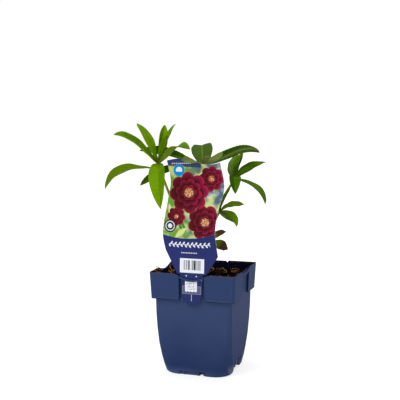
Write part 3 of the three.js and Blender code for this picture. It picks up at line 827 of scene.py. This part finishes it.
def makeLabel():
    form = labelForm
    edges = []
    for side in ("left", "right"):
        tongue, neck, face = form[side]
        edges.append(np.vstack([
            evenCurve(tongue, form["tongueRows"]),
            np.linspace(neck, face[0], form["neckRows"])[:-1],
            evenCurve(face, form["faceRows"]),
        ]))
    left, right = edges
    rows, columns = len(left), form["columns"] + 1
    u = np.linspace(0, 1, columns)[None, :]
    x = left[:, :1] * (1 - u) + right[:, :1] * u
    upFace = (np.arange(rows) - rows + 1) / form["faceRows"] + 1
    nearTop = np.clip((upFace - 1) / form["wavyShare"] + 1, 0, 1)[:, None]
    z = left[:, 1:] * (1 - u) + right[:, 1:] * u + form["topWave"] * nearTop * np.sin(2 * math.pi * u)
    y = labelY(x, z)
    front = np.stack([x, y - form["thickness"] / 2, z], 2).reshape(-1, 3)
    back = np.stack([x, y + form["thickness"] / 2, z], 2).reshape(-1, 3)
    faces = sheetFaces(rows, columns)
    quads = (rows - 1) * (columns - 1)
    finishOfFace = [0] * quads + [1] * (len(faces) - quads)
    finishes = [cardFront(), cardBack()]
    label = pieceFrom("plant_label", np.vstack([front, back]), faces, finishes, finishOfFace)
    label.data.set_sharp_from_angle(angle=math.radians(40))
    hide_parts("label")
    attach(label, "root")
    print("label has", len(label.data.polygons), "faces")


# The print on the card, in millimetres across (x) and up (z).

cardPrint = {
    "navy": srgb(42, 50, 108),
    "navyLow": srgb(40, 48, 100),
    "band": srgb(62, 68, 112),
    "white": srgb(232, 234, 242),
    "grey": srgb(120, 122, 134),
    "disc": srgb(0, 140, 214),
    "badge": srgb(30, 32, 36),
    "meadow": srgb(112, 158, 58),
    "meadowPale": srgb(206, 218, 132),
    "slate": srgb(84, 104, 128),
    "leaf": srgb(56, 142, 54),
    "leafPale": srgb(212, 222, 126),
    "core": srgb(54, 12, 18),
    "petal": srgb(100, 20, 26),
    "petalRim": srgb(196, 36, 92),
    "glow": srgb(214, 116, 66),
    "stamen": srgb(244, 226, 180),
    "badgeAt": (-23.6, 153.4),
    "discAt": (-14.7, 209.0),
    "dots": [(-5.6, 104.2), (5.0, 104.0), (10.0, 100.6)],
    # left, right, low, high
    "codePanel": (-12.4, 12.9, 107.3, 121.6),
    "codeBars": (-9.2, 10.0, 110.2, 119.8),
    "stroke": (-0.5, 0.1, 78.9, 85.6),
    "paper": (-6.9, 5.5, 88.4, 99.0),
    "paperLines": (-5.8, 4.4, 89.6, 97.4),
    "backLines": (-18, 18, 130, 176),
    "window": (9.6, 90, 3.9),  # half width, middle height, half height
    "paperPitch": 1.5,
    "backPitch": 3.4,
    # centre x and z, radius, turn
    "rosettes": [(-17, 163, 10, 0.5), (19, 201, 13, 0.5), (13, 158, 18, 0.1), (-4, 187, 21, 0.3)],
    # root x and z, tip x and z, half width, pale or not
    "leaves": [
        (-22, 146, -13, 171, 3.6, 0), (-6, 144, -16, 163, 3.2, 0), (-25, 176, -21, 158, 2.6, 1),
        (2, 176, 9, 209, 3.4, 1), (24, 186, 29, 209, 3.0, 0), (-18, 142, -6, 152, 3.0, 1),
    ],
}


def away(x, z, atX, atZ):
    return distance(x - atX, z - atZ)


def spot(x, z, atX, atZ, radius, soft=0.2):
    return smooth(away(x, z, atX, atZ), radius + soft, radius - soft)


def panel(x, z, left, right, low, high):
    return between(x, left, right) * between(z, low, high)


def leafMark(x, z, rootX, rootZ, tipX, tipZ, halfWidth):
    # a pointed leaf, and the rib along it
    length = math.hypot(tipX - rootX, tipZ - rootZ)
    alongX, alongZ = (tipX - rootX) / length, (tipZ - rootZ) / length
    t = ((x - rootX) * alongX + (z - rootZ) * alongZ) / length
    across = abs((z - rootZ) * alongX - (x - rootX) * alongZ)
    inside = 4 * t * (1 - t) * halfWidth - across
    return smooth(inside, 0.0, 0.35), smooth(across, 0.4, 0.1)


def paintRosette(colour, x, z, atX, atZ, radius, turn):
    # a many-petalled flower seen from the front: three rings of petals around a dotted eye
    ink = cardPrint
    reach = away(x, z, atX, atZ) / radius
    angle = calc("ARCTAN2", z - atZ, x - atX) + turn
    for size, petals, shade in ((1.0, 8, 0.0), (0.66, 8, 1.1), (0.38, 6, 0.4)):
        scallop = abs(calc("SINE", angle * (petals / 2) + shade))
        outline = size * (0.8 + 0.2 * scallop ** 0.7)
        share = reach / outline
        petal = painted(
            ink["core"],
            (smooth(share, 0.45, 1.05), ink["petal"]),
            (smooth(x - atX, -radius, radius) * smooth(share, 0.6, 1.0) * 0.5, ink["petalRim"]),
            (smooth(share, 0.88, 1.0) * 0.35, ink["petalRim"]),
            (smooth(scallop, 0.3, 0.0) * 0.7, ink["core"]),
        )
        colour = blend(smooth(share, 1.0, 0.97), colour, petal)
    colour = blend(smooth(reach, 0.3, 0.12) * 0.8, colour, ink["glow"])
    dots = smooth(cells(vectorOf(x, z), 0.9), 0.42, 0.3) * smooth(reach, 0.26, 0.2)
    return blend(dots, colour, ink["stamen"])


def dotRow(x, z, left, right, atZ, pitch, radius):
    local = (calc("FRACT", (x - left) / pitch) - 0.5) * pitch
    return spot(local, z, 0, atZ, radius, 0.15) * between(x, left, right, 0.01)


def sprig(x, z, left, right, middle, pitch, reach):
    # a wavy stem with small pointed leaves above and below it
    up = z - (middle + 0.35 * calc("SINE", x * 0.5))
    marks = smooth(abs(up), 0.42, 0.2)
    for side, shift in ((1, 0.0), (-1, 0.5)):
        local = (calc("FRACT", (x - left) / pitch + shift) - 0.5) * pitch
        t = up * (side / reach)
        inside = 4 * t * (1 - t) * (pitch * 0.26) - abs(local - t * (pitch * 0.35))
        marks = calc("MAXIMUM", marks, smooth(inside, 0.0, 0.25))
    return marks * between(x, left, right)


def bars(x, step, share):
    # upright lines in uneven groups
    node = x.tree.nodes.new("ShaderNodeTexWhiteNoise")
    node.noise_dimensions = "1D"
    plug(calc("FLOOR", x / step), node.inputs["W"])
    return smooth(Field(x.tree, node.outputs["Value"]), share - 0.01, share + 0.01)


def ruled(z, pitch, near, far):
    # level lines; near and far are the shares of the pitch where a line starts to fade and ends
    return smooth(abs(calc("FRACT", z / pitch) - 0.5), far, near)


def paintPicture(x, z, place):
    ink = cardPrint
    soft = grain(place, 60, 2)
    colour = painted(
        ink["meadow"],
        (smooth(x + soft * 30 - 15, -14, 16), ink["slate"]),
        (smooth(grain(place, 95, 1), 0.46, 0.66) * 0.85, ink["meadowPale"]),
        (smooth(cells(place, 130), 0.5, 0.3) * 0.25, ink["white"]),
    )
    for *form, pale in ink["leaves"]:
        shape, rib = leafMark(x, z, *form)
        body = blend(rib * 0.6, ink["leafPale" if pale else "leaf"], ink["white" if pale else "leafPale"])
        colour = blend(shape, colour, body)
    for rosette in ink["rosettes"]:
        colour = paintRosette(colour, x, z, *rosette)
    return colour


def cardFront():
    ink = cardPrint
    white = ink["white"]
    finish, place = newFinish("cardFront", 0.3, 0.06)
    x, _, z = axes(place, 1000)
    badge, disc = ink["badgeAt"], ink["discAt"]
    badgeLine = smooth(abs(away(x, z, *badge) - 4.6), 0.6, 0.3)
    band = smooth(z - (212.2 - 0.045 * x), -0.15, 0.15) * smooth(x, 8.2, 7.8)
    # the plain lower part ends at a curve under the picture
    fromMiddle = x + 3.2
    low = smooth(z - (141.3 + 0.0057 * fromMiddle ** 2 + 0.041 * fromMiddle), 0.15, -0.15)
    colour = painted(
        paintPicture(x, z, place),
        (spot(x, z, *badge, 6.4), ink["badge"]),
        (badgeLine + spot(x, z, *badge, 2.3), white),
        (spot(x, z, *disc, 5.9), ink["disc"]),
        (spot(x, z, *disc, 3.4) * smooth(z, 207.4, 207.8), white),
        (band * smooth(away(x, z, *disc), 5.9, 6.2), ink["band"]),
        (dotRow(x, z - 0.03 * x, -23, -2, 216.2, 2.1, 0.62) * band, white),
        (low, blend(smooth(z, 128, 92), ink["navy"], ink["navyLow"])),
        (sprig(x, z, -24.4, 18.8, 135.2, 4.32, 2.9), white),
        (dotRow(x, z, -11.5, 5.5, 127.1, 1.7, 0.55), white),
        (panel(x, z, *ink["codePanel"]), white),
        (bars(x, 0.46, 0.52) * panel(x, z, *ink["codeBars"]), ink["badge"]),
        *((spot(x, z, *at, 0.6), white) for at in ink["dots"]),
    )
    # a faint window on the tongue, a paper with printed lines over it, and a short stroke
    halfWide, atZ, halfHigh = ink["window"]
    frameLine = abs(calc("MAXIMUM", abs(x) - halfWide, abs(z - atZ) - halfHigh))
    window = panel(x, z, -halfWide, halfWide, atZ - halfHigh, atZ + halfHigh)
    pitch = ink["paperPitch"]
    wordy = smooth(grain(vectorOf(x * 0.7, calc("FLOOR", z / pitch)), 1.0, 0), 0.42, 0.5)
    colour = painted(
        colour,
        (window * 0.1 + smooth(frameLine, 0.35, 0.1) * 0.22, white),
        (panel(x, z + 0.4 * calc("SINE", x * 1.9), *ink["paper"]), white),
        (ruled(z, pitch, 0.14, 0.22) * panel(x, z, *ink["paperLines"]) * wordy, ink["grey"]),
        (panel(x, z, *ink["stroke"]) * 0.6, white),
    )
    fine = grain(place, 1500, 2)
    return dressed(finish, colour, grain(place, 45, 2) + fine * 0.02, 0.0006, 0.24 + fine * 0.14)


def cardBack():
    ink = cardPrint
    finish, place = newFinish("cardBack", 0.4, 0.2)
    x, _, z = axes(place, 1000)
    fine = grain(place, 1200, 2)
    pitch = ink["backPitch"]
    wordy = smooth(grain(vectorOf(x * 0.5, calc("FLOOR", z / pitch) * 7), 1.0, 1), 0.44, 0.5)
    colour = painted(
        ink["white"],
        (fine * 0.2, ink["grey"]),
        (ruled(z, pitch, 0.12, 0.2) * wordy * panel(x, z, *ink["backLines"]) * 0.8, ink["grey"]),
        *((smooth(abs(away(x, z, atX, 192) - 3.6), 0.6, 0.3), ink["navy"]) for atX in (-12, 0, 12)),
        (smooth(z, 123, 122.6), ink["navy"]),
    )
    return dressed(finish, colour, grain(place, 45, 2) + fine * 0.02, 0.0006, 0.34 + fine * 0.14)


makeLabel()


# The compost: a lumpy dark surface, heaped along the left wall, with crumbs, bark and fibres half sunk in
# it. Lengths are in metres.

compost = {
    "level": 0.0968,
    # x, y, spread, height
    "heaps": [
        (-0.031, -0.033, 0.015, 0.0075), (-0.035, -0.002, 0.012, 0.009), (-0.004, 0.02, 0.016, 0.0035),
    ],
    "lumps": [(85, 0.0011), (260, 0.0009), (700, 0.0005)],  # cells a metre, height
    "spokes": 288,
    "topRings": 60,
    # height, half width, corner radius: the pot's inside, a little cut back
    "inside": [
        (0.0144, 0.0359, 0.0133), (0.0180, 0.0366, 0.0111), (0.0310, 0.0376, 0.0071),
        (0.0470, 0.0383, 0.0041), (0.0620, 0.0387, 0.0024), (0.0796, 0.0389, 0.0016),
        (0.0806, 0.0421, 0.0016), (0.0940, 0.0429, 0.0016),
    ],
    "ledge": 0.0796,  # from here up the wall has the same outline as the top
    "wallTop": 0.094,
    "wallLean": 0.04,  # how much further in it is, for each metre below its top
    "topHalf": 0.0430,
    "topCorner": 0.0016,
    "middleHalf": 0.0407,  # in the middle of each side the wall stands further in
    "middleReach": (0.0148, 0.0166),
    "crumbs": 420,
    "crumbSize": (0.0006, 0.0015),  # the smallest, and how much more the largest
    "chips": 70,
    "chipLength": (0.002, 0.006),
    "chipHalfWidth": (0.0005, 0.0011),
    "fibres": 260,
    "fibreLength": (0.004, 0.013),
    "fibreRadius": (0.00013, 0.0003),
    "fibreLie": (0.0012, 0.0009),  # how high it arches, and how far its points stray
    "setFibreRadius": (0.0003, 0.00045),  # of those in set places
    "setFibreLie": (0.0015, 0.0006),
    "strawRadius": 0.00035,
    "paleBark": (1.0, 0.93),  # kind and light
    "paleFibre": (1.0, 0.5),
    "seed": 5,
}

compostColours = {
    "soil": srgb(4, 2, 2),
    "clod": srgb(18, 10, 6),
    "grit": srgb(66, 38, 18),
    "fleck": srgb(112, 76, 38),
    "bark": srgb(8, 4, 3),
    "barkLight": srgb(50, 27, 13),
    "barkPale": srgb(168, 112, 62),
    "fibre": srgb(24, 13, 6),
    "fibrePale": srgb(146, 106, 54),
    "fibreGreen": srgb(156, 150, 58),
    "green": srgb(126, 132, 44),
    "greenPale": srgb(198, 200, 96),
}

# Bits that lie in set places: (x, y) of both ends in millimetres, and half the width.
barkBits = [
    ((15, 42), (25.3, 36.5), 1.5), ((25, 40.6), (27, 39.6), 1.3), ((22.5, 22.2), (29.2, 30.5), 1.1),
    ((21, 27.7), (27.6, 36.5), 0.9), ((-37, -36), (-32, -33), 1.2), ((31, 12), (36, 20), 1.0),
]
fibreBits = [
    ((-1.9, 25.1), (9.7, 9.1)), ((-3.4, 39.6), (4.5, 39)), ((10.1, 36.5), (22, 9.1)),
    ((-40, -33), (-37.4, -37.6)), ((-38.9, -30.2), (-37.9, -17.4)), ((8.2, 14.2), (-1.1, 22.6)),
    ((6.1, 36.4), (14, 30)), ((-36, -20), (-22, -36)), ((-41, -24), (-35, -31)),
    ((-39.5, -22), (-34, -33)), ((-41, -28), (-36, -36)), ((-38, -37), (-33, -30)),
    ((-36, -19), (-32, -25)), ((-37, -7), (-31, -14)), ((-38, -3), (-33, -12)),
    ((-31, -9), (-28, -19)), ((-33, -14), (-27, -21)), ((-40, -30), (-33, -35)),
]
greenBits = [((22.6, 6.6), (23.8, 5.2), 0.9), ((28.4, 0.4), (29.8, -0.6), 1.0)]

# Straws that lie over the wall: (x, y, z) along each, in metres.
strawBits = [
    ((-0.0395, -0.019, 0.1035), (-0.0438, -0.0195, 0.1062), (-0.0475, -0.021, 0.1082)),
    ((-0.0385, -0.024, 0.1045), (-0.0435, -0.0255, 0.1060), (-0.0462, -0.0235, 0.1072)),
    ((-0.0390, -0.033, 0.1040), (-0.0430, -0.0345, 0.1059), (-0.0458, -0.0375, 0.1056)),
]


def outline(angle, half, corner):
    # how far a rounded square reaches at each angle
    c, s = np.abs(np.cos(angle)), np.abs(np.sin(angle))
    c, s = np.maximum(c, s), np.minimum(c, s)
    flat = half / c
    k = half - corner
    inner = np.sqrt(np.maximum((k * (c + s)) ** 2 - 2 * k ** 2 + corner ** 2, 0))
    return np.where(flat * s > k, k * (c + s) + inner, flat)


def topOutline(angle):
    reach = outline(angle, compost["topHalf"], compost["topCorner"])
    fromMiddle = reach * np.minimum(np.abs(np.cos(angle)), np.abs(np.sin(angle)))
    near, far = compost["middleReach"]
    share = np.clip((far - fromMiddle) / (far - near), 0, 1)
    return reach * (1 + share * (compost["middleHalf"] / compost["topHalf"] - 1))


def compostHeight(x, y):
    heaped = sum(
        height * math.exp(-((x - heapX) ** 2 + (y - heapY) ** 2) / spread ** 2)
        for heapX, heapY, spread, height in compost["heaps"]
    )
    lumps = sum(size * noise.noise(Vector((x, y, 0.01)) * scale) for scale, size in compost["lumps"])
    return compost["level"] + heaped + lumps


def addCompostBody(parts):
    spokes = compost["spokes"]
    angle = np.arange(spokes) / spokes * 2 * math.pi
    direction = np.stack([np.cos(angle), np.sin(angle)], 1)
    vertices = []
    edge = topOutline(angle)
    for height, half, corner in compost["inside"]:
        reach = outline(angle, half, corner)
        if height >= compost["ledge"]:
            reach = np.minimum(reach, edge - (compost["wallTop"] - height) * compost["wallLean"])
        vertices.extend((*place, height) for place in direction * reach[:, None])
    for share in np.linspace(1, 0.012, compost["topRings"]):
        for x, y in direction * (edge * share)[:, None]:
            vertices.append((x, y, compostHeight(x, y)))
    faces = ringFaces(len(vertices) // spokes, spokes)
    parts.add(vertices, faces, 0, bitTint=[(0, 0)] * len(vertices))


def addLump(parts, draw, centre, reach, turn, finish, bumpy, tint=None):
    # an uneven lump; tint is its kind and its light, each 0 to 1
    ball, faces = ballShape(6, 8)
    shift = Vector((draw.uniform(0, 9), draw.uniform(0, 9), draw.uniform(0, 9)))
    spin = np.array(turn.to_matrix())
    vertices = []
    for corner in ball:
        uneven = 1 + bumpy * noise.noise(Vector(corner) * 1.3 + shift)
        vertices.append(centre + spin @ (corner * np.array(reach) * uneven))
    own = (draw.random(), draw.random())
    parts.add(vertices, faces, finish, bitTint=[tint or own] * len(vertices))


def addFibre(parts, draw, path, radius, tint=None):
    path = smoothPath(path, 5)
    taper = 1 - 0.5 * np.linspace(-1, 1, len(path)) ** 4
    vertices, faces = tubeShape(path, radius * taper, 5)
    own = (draw.random() ** 2, draw.random())
    parts.add(vertices, faces, 2, bitTint=[tint or own] * len(vertices))


def lyingPath(draw, start, end, lift, wander):
    # a loose path over the surface, from and to (x, y)
    points = []
    for share in (0, 0.33, 0.67, 1):
        x = start[0] + (end[0] - start[0]) * share + draw.uniform(-wander, wander)
        y = start[1] + (end[1] - start[1]) * share + draw.uniform(-wander, wander)
        arch = lift * 4 * share * (1 - share) * draw.uniform(0.3, 1.2)
        points.append((x, y, compostHeight(x, y) + 0.0003 + arch))
    return points


def addChip(parts, draw, start, end, halfWidth, finish, tint=None):
    x, y = (start[0] + end[0]) / 2, (start[1] + end[1]) / 2
    length = math.hypot(end[0] - start[0], end[1] - start[1]) / 2
    heading = math.atan2(end[1] - start[1], end[0] - start[0])
    slope = math.atan2(compostHeight(*start) - compostHeight(*end), 2 * length)
    turn = Euler((draw.uniform(-0.5, 0.5), slope + draw.uniform(-0.15, 0.15), heading))
    centre = np.array((x, y, compostHeight(x, y) + halfWidth * 0.35))
    addLump(parts, draw, centre, (length, halfWidth, halfWidth * 0.4), turn, finish, 0.7, tint)


def looseSpot(draw, margin):
    # a place on the compost, a little further from its edge than margin
    while True:
        x, y = draw.uniform(-0.043, 0.043), draw.uniform(-0.043, 0.043)
        limit = topOutline(np.array([math.atan2(y, x)]))[0]
        if math.hypot(x, y) < limit - margin * 1.5:
            return x, y


def looseEnds(draw, shortest, longest):
    # both ends of a bit that lies somewhere on the compost
    length = draw.uniform(shortest, longest)
    x, y = looseSpot(draw, length)
    heading = draw.uniform(0, 6.28)
    dx, dy = math.cos(heading) * length / 2, math.sin(heading) * length / 2
    return (x - dx, y - dy), (x + dx, y + dy)


def metres(*values):
    return [np.array(value) / 1000 for value in values]


def compostFinish():
    finish, place = newFinish("compost", 0.9, 0.02)
    colours = compostColours
    clods = grain(place, 300, 4, 0.65)
    fine = grain(place, 1300, 3, 0.6)
    flecks = smooth(cells(place, 420), 0.22, 0.12) * smooth(grain(place, 200, 1), 0.52, 0.6)
    colour = painted(
        colours["soil"],
        (smooth(clods, 0.35, 0.65), colours["clod"]),
        (smooth(fine, 0.6, 0.74) * 0.2, colours["grit"]),
        (flecks * 0.3, colours["fleck"]),
    )
    return dressed(finish, colour, clods + fine * 0.4, 0.0012, 0.75 + fine * 0.25)


def barkFinish():
    finish, place = newFinish("barkBits", 0.85, 0.03)
    colours = compostColours
    kind, light = uvFields(place, "bitTint")
    streak = grain(place, 900, 3, 0.6, 1.5)
    colour = blend(smooth(streak + kind * 0.5, 0.4, 1.0), colours["bark"], colours["barkLight"])
    colour = blend(smooth(light + streak * 0.3, 0.95, 1.2), colour, colours["barkPale"])
    return dressed(finish, colour, streak, 0.0008)


def fibreFinish():
    finish, place = newFinish("fibres", 0.7, 0.05)
    colours = compostColours
    kind, light = uvFields(place, "bitTint")
    streak = grain(place, 700, 2, 0.6)
    colour = blend(smooth(kind + streak * 0.4, 0.3, 1.2), colours["fibre"], colours["fibrePale"])
    colour = blend(smooth(light, 0.9, 1.0) * 0.5, colour, colours["fibreGreen"])
    return dressed(finish, colour, streak, 0.0003)


def greenBitFinish():
    finish, place = newFinish("greenBits", 0.6, 0.25)
    streak = grain(place, 800, 2, 0.6)
    colour = blend(smooth(streak, 0.35, 0.7), compostColours["green"], compostColours["greenPale"])
    return dressed(finish, colour, streak, 0.0003)


def makeCompost():
    draw = random.Random(compost["seed"])
    parts = MeshParts(["bitTint"])
    addCompostBody(parts)
    smallest, more = compost["crumbSize"]
    for _ in range(compost["crumbs"]):
        size = smallest + more * draw.random() ** 2.2
        x, y = looseSpot(draw, size)
        turn = Euler((draw.uniform(0, 3), draw.uniform(0, 3), draw.uniform(0, 3)))
        reach = [size * draw.uniform(0.6, 1.2) for _ in range(3)]
        centre = np.array((x, y, compostHeight(x, y) + size * 0.3))
        addLump(parts, draw, centre, reach, turn, 0 if draw.random() < 0.85 else 1, 0.9)
    for _ in range(compost["chips"]):
        ends = looseEnds(draw, *compost["chipLength"])
        addChip(parts, draw, *ends, draw.uniform(*compost["chipHalfWidth"]), 1)
    for _ in range(compost["fibres"]):
        ends = looseEnds(draw, *compost["fibreLength"])
        path = lyingPath(draw, *ends, *compost["fibreLie"])
        addFibre(parts, draw, path, draw.uniform(*compost["fibreRadius"]))
    for bit in barkBits:
        addChip(parts, draw, *metres(*bit), 1, compost["paleBark"])
    for bit in greenBits:
        addChip(parts, draw, *metres(*bit), 3)
    for bit in fibreBits:
        path = lyingPath(draw, *metres(*bit), *compost["setFibreLie"])
        addFibre(parts, draw, path, draw.uniform(*compost["setFibreRadius"]), compost["paleFibre"])
    for path in strawBits:
        addFibre(parts, draw, path, compost["strawRadius"], compost["paleFibre"])
    piece = parts.piece("compost", [compostFinish(), barkFinish(), fibreFinish(), greenBitFinish()])
    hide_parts("soil")
    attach(piece, "root")
    print("compost has", len(piece.data.polygons), "faces")


makeCompost()


# The camera, the light and the floor.

cameraView = {
    "place": (0.2310, -0.7348, 0.2471),
    "forward": (-0.3047, 0.9480, -0.0915),
    "up": (-0.0280, 0.0871, 0.9958),
    "focalPixels": 743.7,
    "framePixels": 400,
}


def addCamera():
    camera = bpy.data.objects.new("camera", bpy.data.cameras.new("camera"))
    bpy.context.scene.collection.objects.link(camera)
    back = -Vector(cameraView["forward"]).normalized()
    right = Vector(cameraView["up"]).cross(back).normalized()
    up = back.cross(right)
    turn = Matrix((right, up, back)).transposed()
    camera.matrix_world = Matrix.Translation(cameraView["place"]) @ turn.to_4x4()
    camera.data.sensor_width = 36
    camera.data.lens = cameraView["focalPixels"] / cameraView["framePixels"] * camera.data.sensor_width
    camera.data.clip_start = 0.01
    bpy.context.scene.camera = camera


studio = {
    "ambient": 0.4,
    "backdrop": 1.02,  # how bright the surroundings look
    # name: place, size, power, what it points at
    "lights": {
        "keyLight": ((-0.9, -1.3, 1.7), 1.1, 24, (0, 0, 0.12)),
        "sideLight": ((1.7, -0.9, 1.0), 1.2, 2.5, (0, 0, 0.12)),
        "topLight": ((0.1, 0.4, 1.9), 1.2, 20, (0, 0, 0.1)),
    },
    "floorSize": 16.0,
    "floorColour": (0.4, 0.4, 0.4, 1),
    "floorGlow": (0.72, 1.0),  # near the pot and far from it
    "floorGlowReach": (0.2, 1.2),
}


def addStudio():
    world = bpy.data.worlds.new("studio")
    bpy.context.scene.world = world
    world.use_nodes = True
    tree = world.node_tree
    background = tree.nodes["Background"]
    background.inputs["Color"].default_value = (1, 1, 1, 1)
    seen = Field(tree, tree.nodes.new("ShaderNodeLightPath").outputs["Is Camera Ray"])
    strength = seen * (studio["backdrop"] - studio["ambient"]) + studio["ambient"]
    plug(strength, background.inputs["Strength"])
    for name, (place, size, power, target) in studio["lights"].items():
        data = bpy.data.lights.new(name, "AREA")
        data.size = size
        data.energy = power
        light = bpy.data.objects.new(name, data)
        bpy.context.scene.collection.objects.link(light)
        light.location = place
        light.rotation_euler = (Vector(target) - Vector(place)).to_track_quat("-Z", "Y").to_euler()
    half = studio["floorSize"] / 2
    corners = [(-half, -half, 0), (half, -half, 0), (half, half, 0), (-half, half, 0)]
    finish, place = newFinish("studioFloor", 0.9, 0.1)
    shader = finish.node_tree.nodes["Principled BSDF"]
    shader.inputs["Base Color"].default_value = studio["floorColour"]
    shader.inputs["Emission Color"].default_value = (1, 1, 1, 1)
    x, y, _ = axes(place)
    near, far = studio["floorGlow"]
    glow = near + smooth(distance(x, y), *studio["floorGlowReach"]) * (far - near)
    plug(glow, shader.inputs["Emission Strength"])
    floor = pieceFrom("floor", corners, [(0, 1, 2, 3)], [finish])


addCamera()
addStudio()
bpy.context.scene.view_settings.view_transform = "Standard"
print("camera and studio in place")
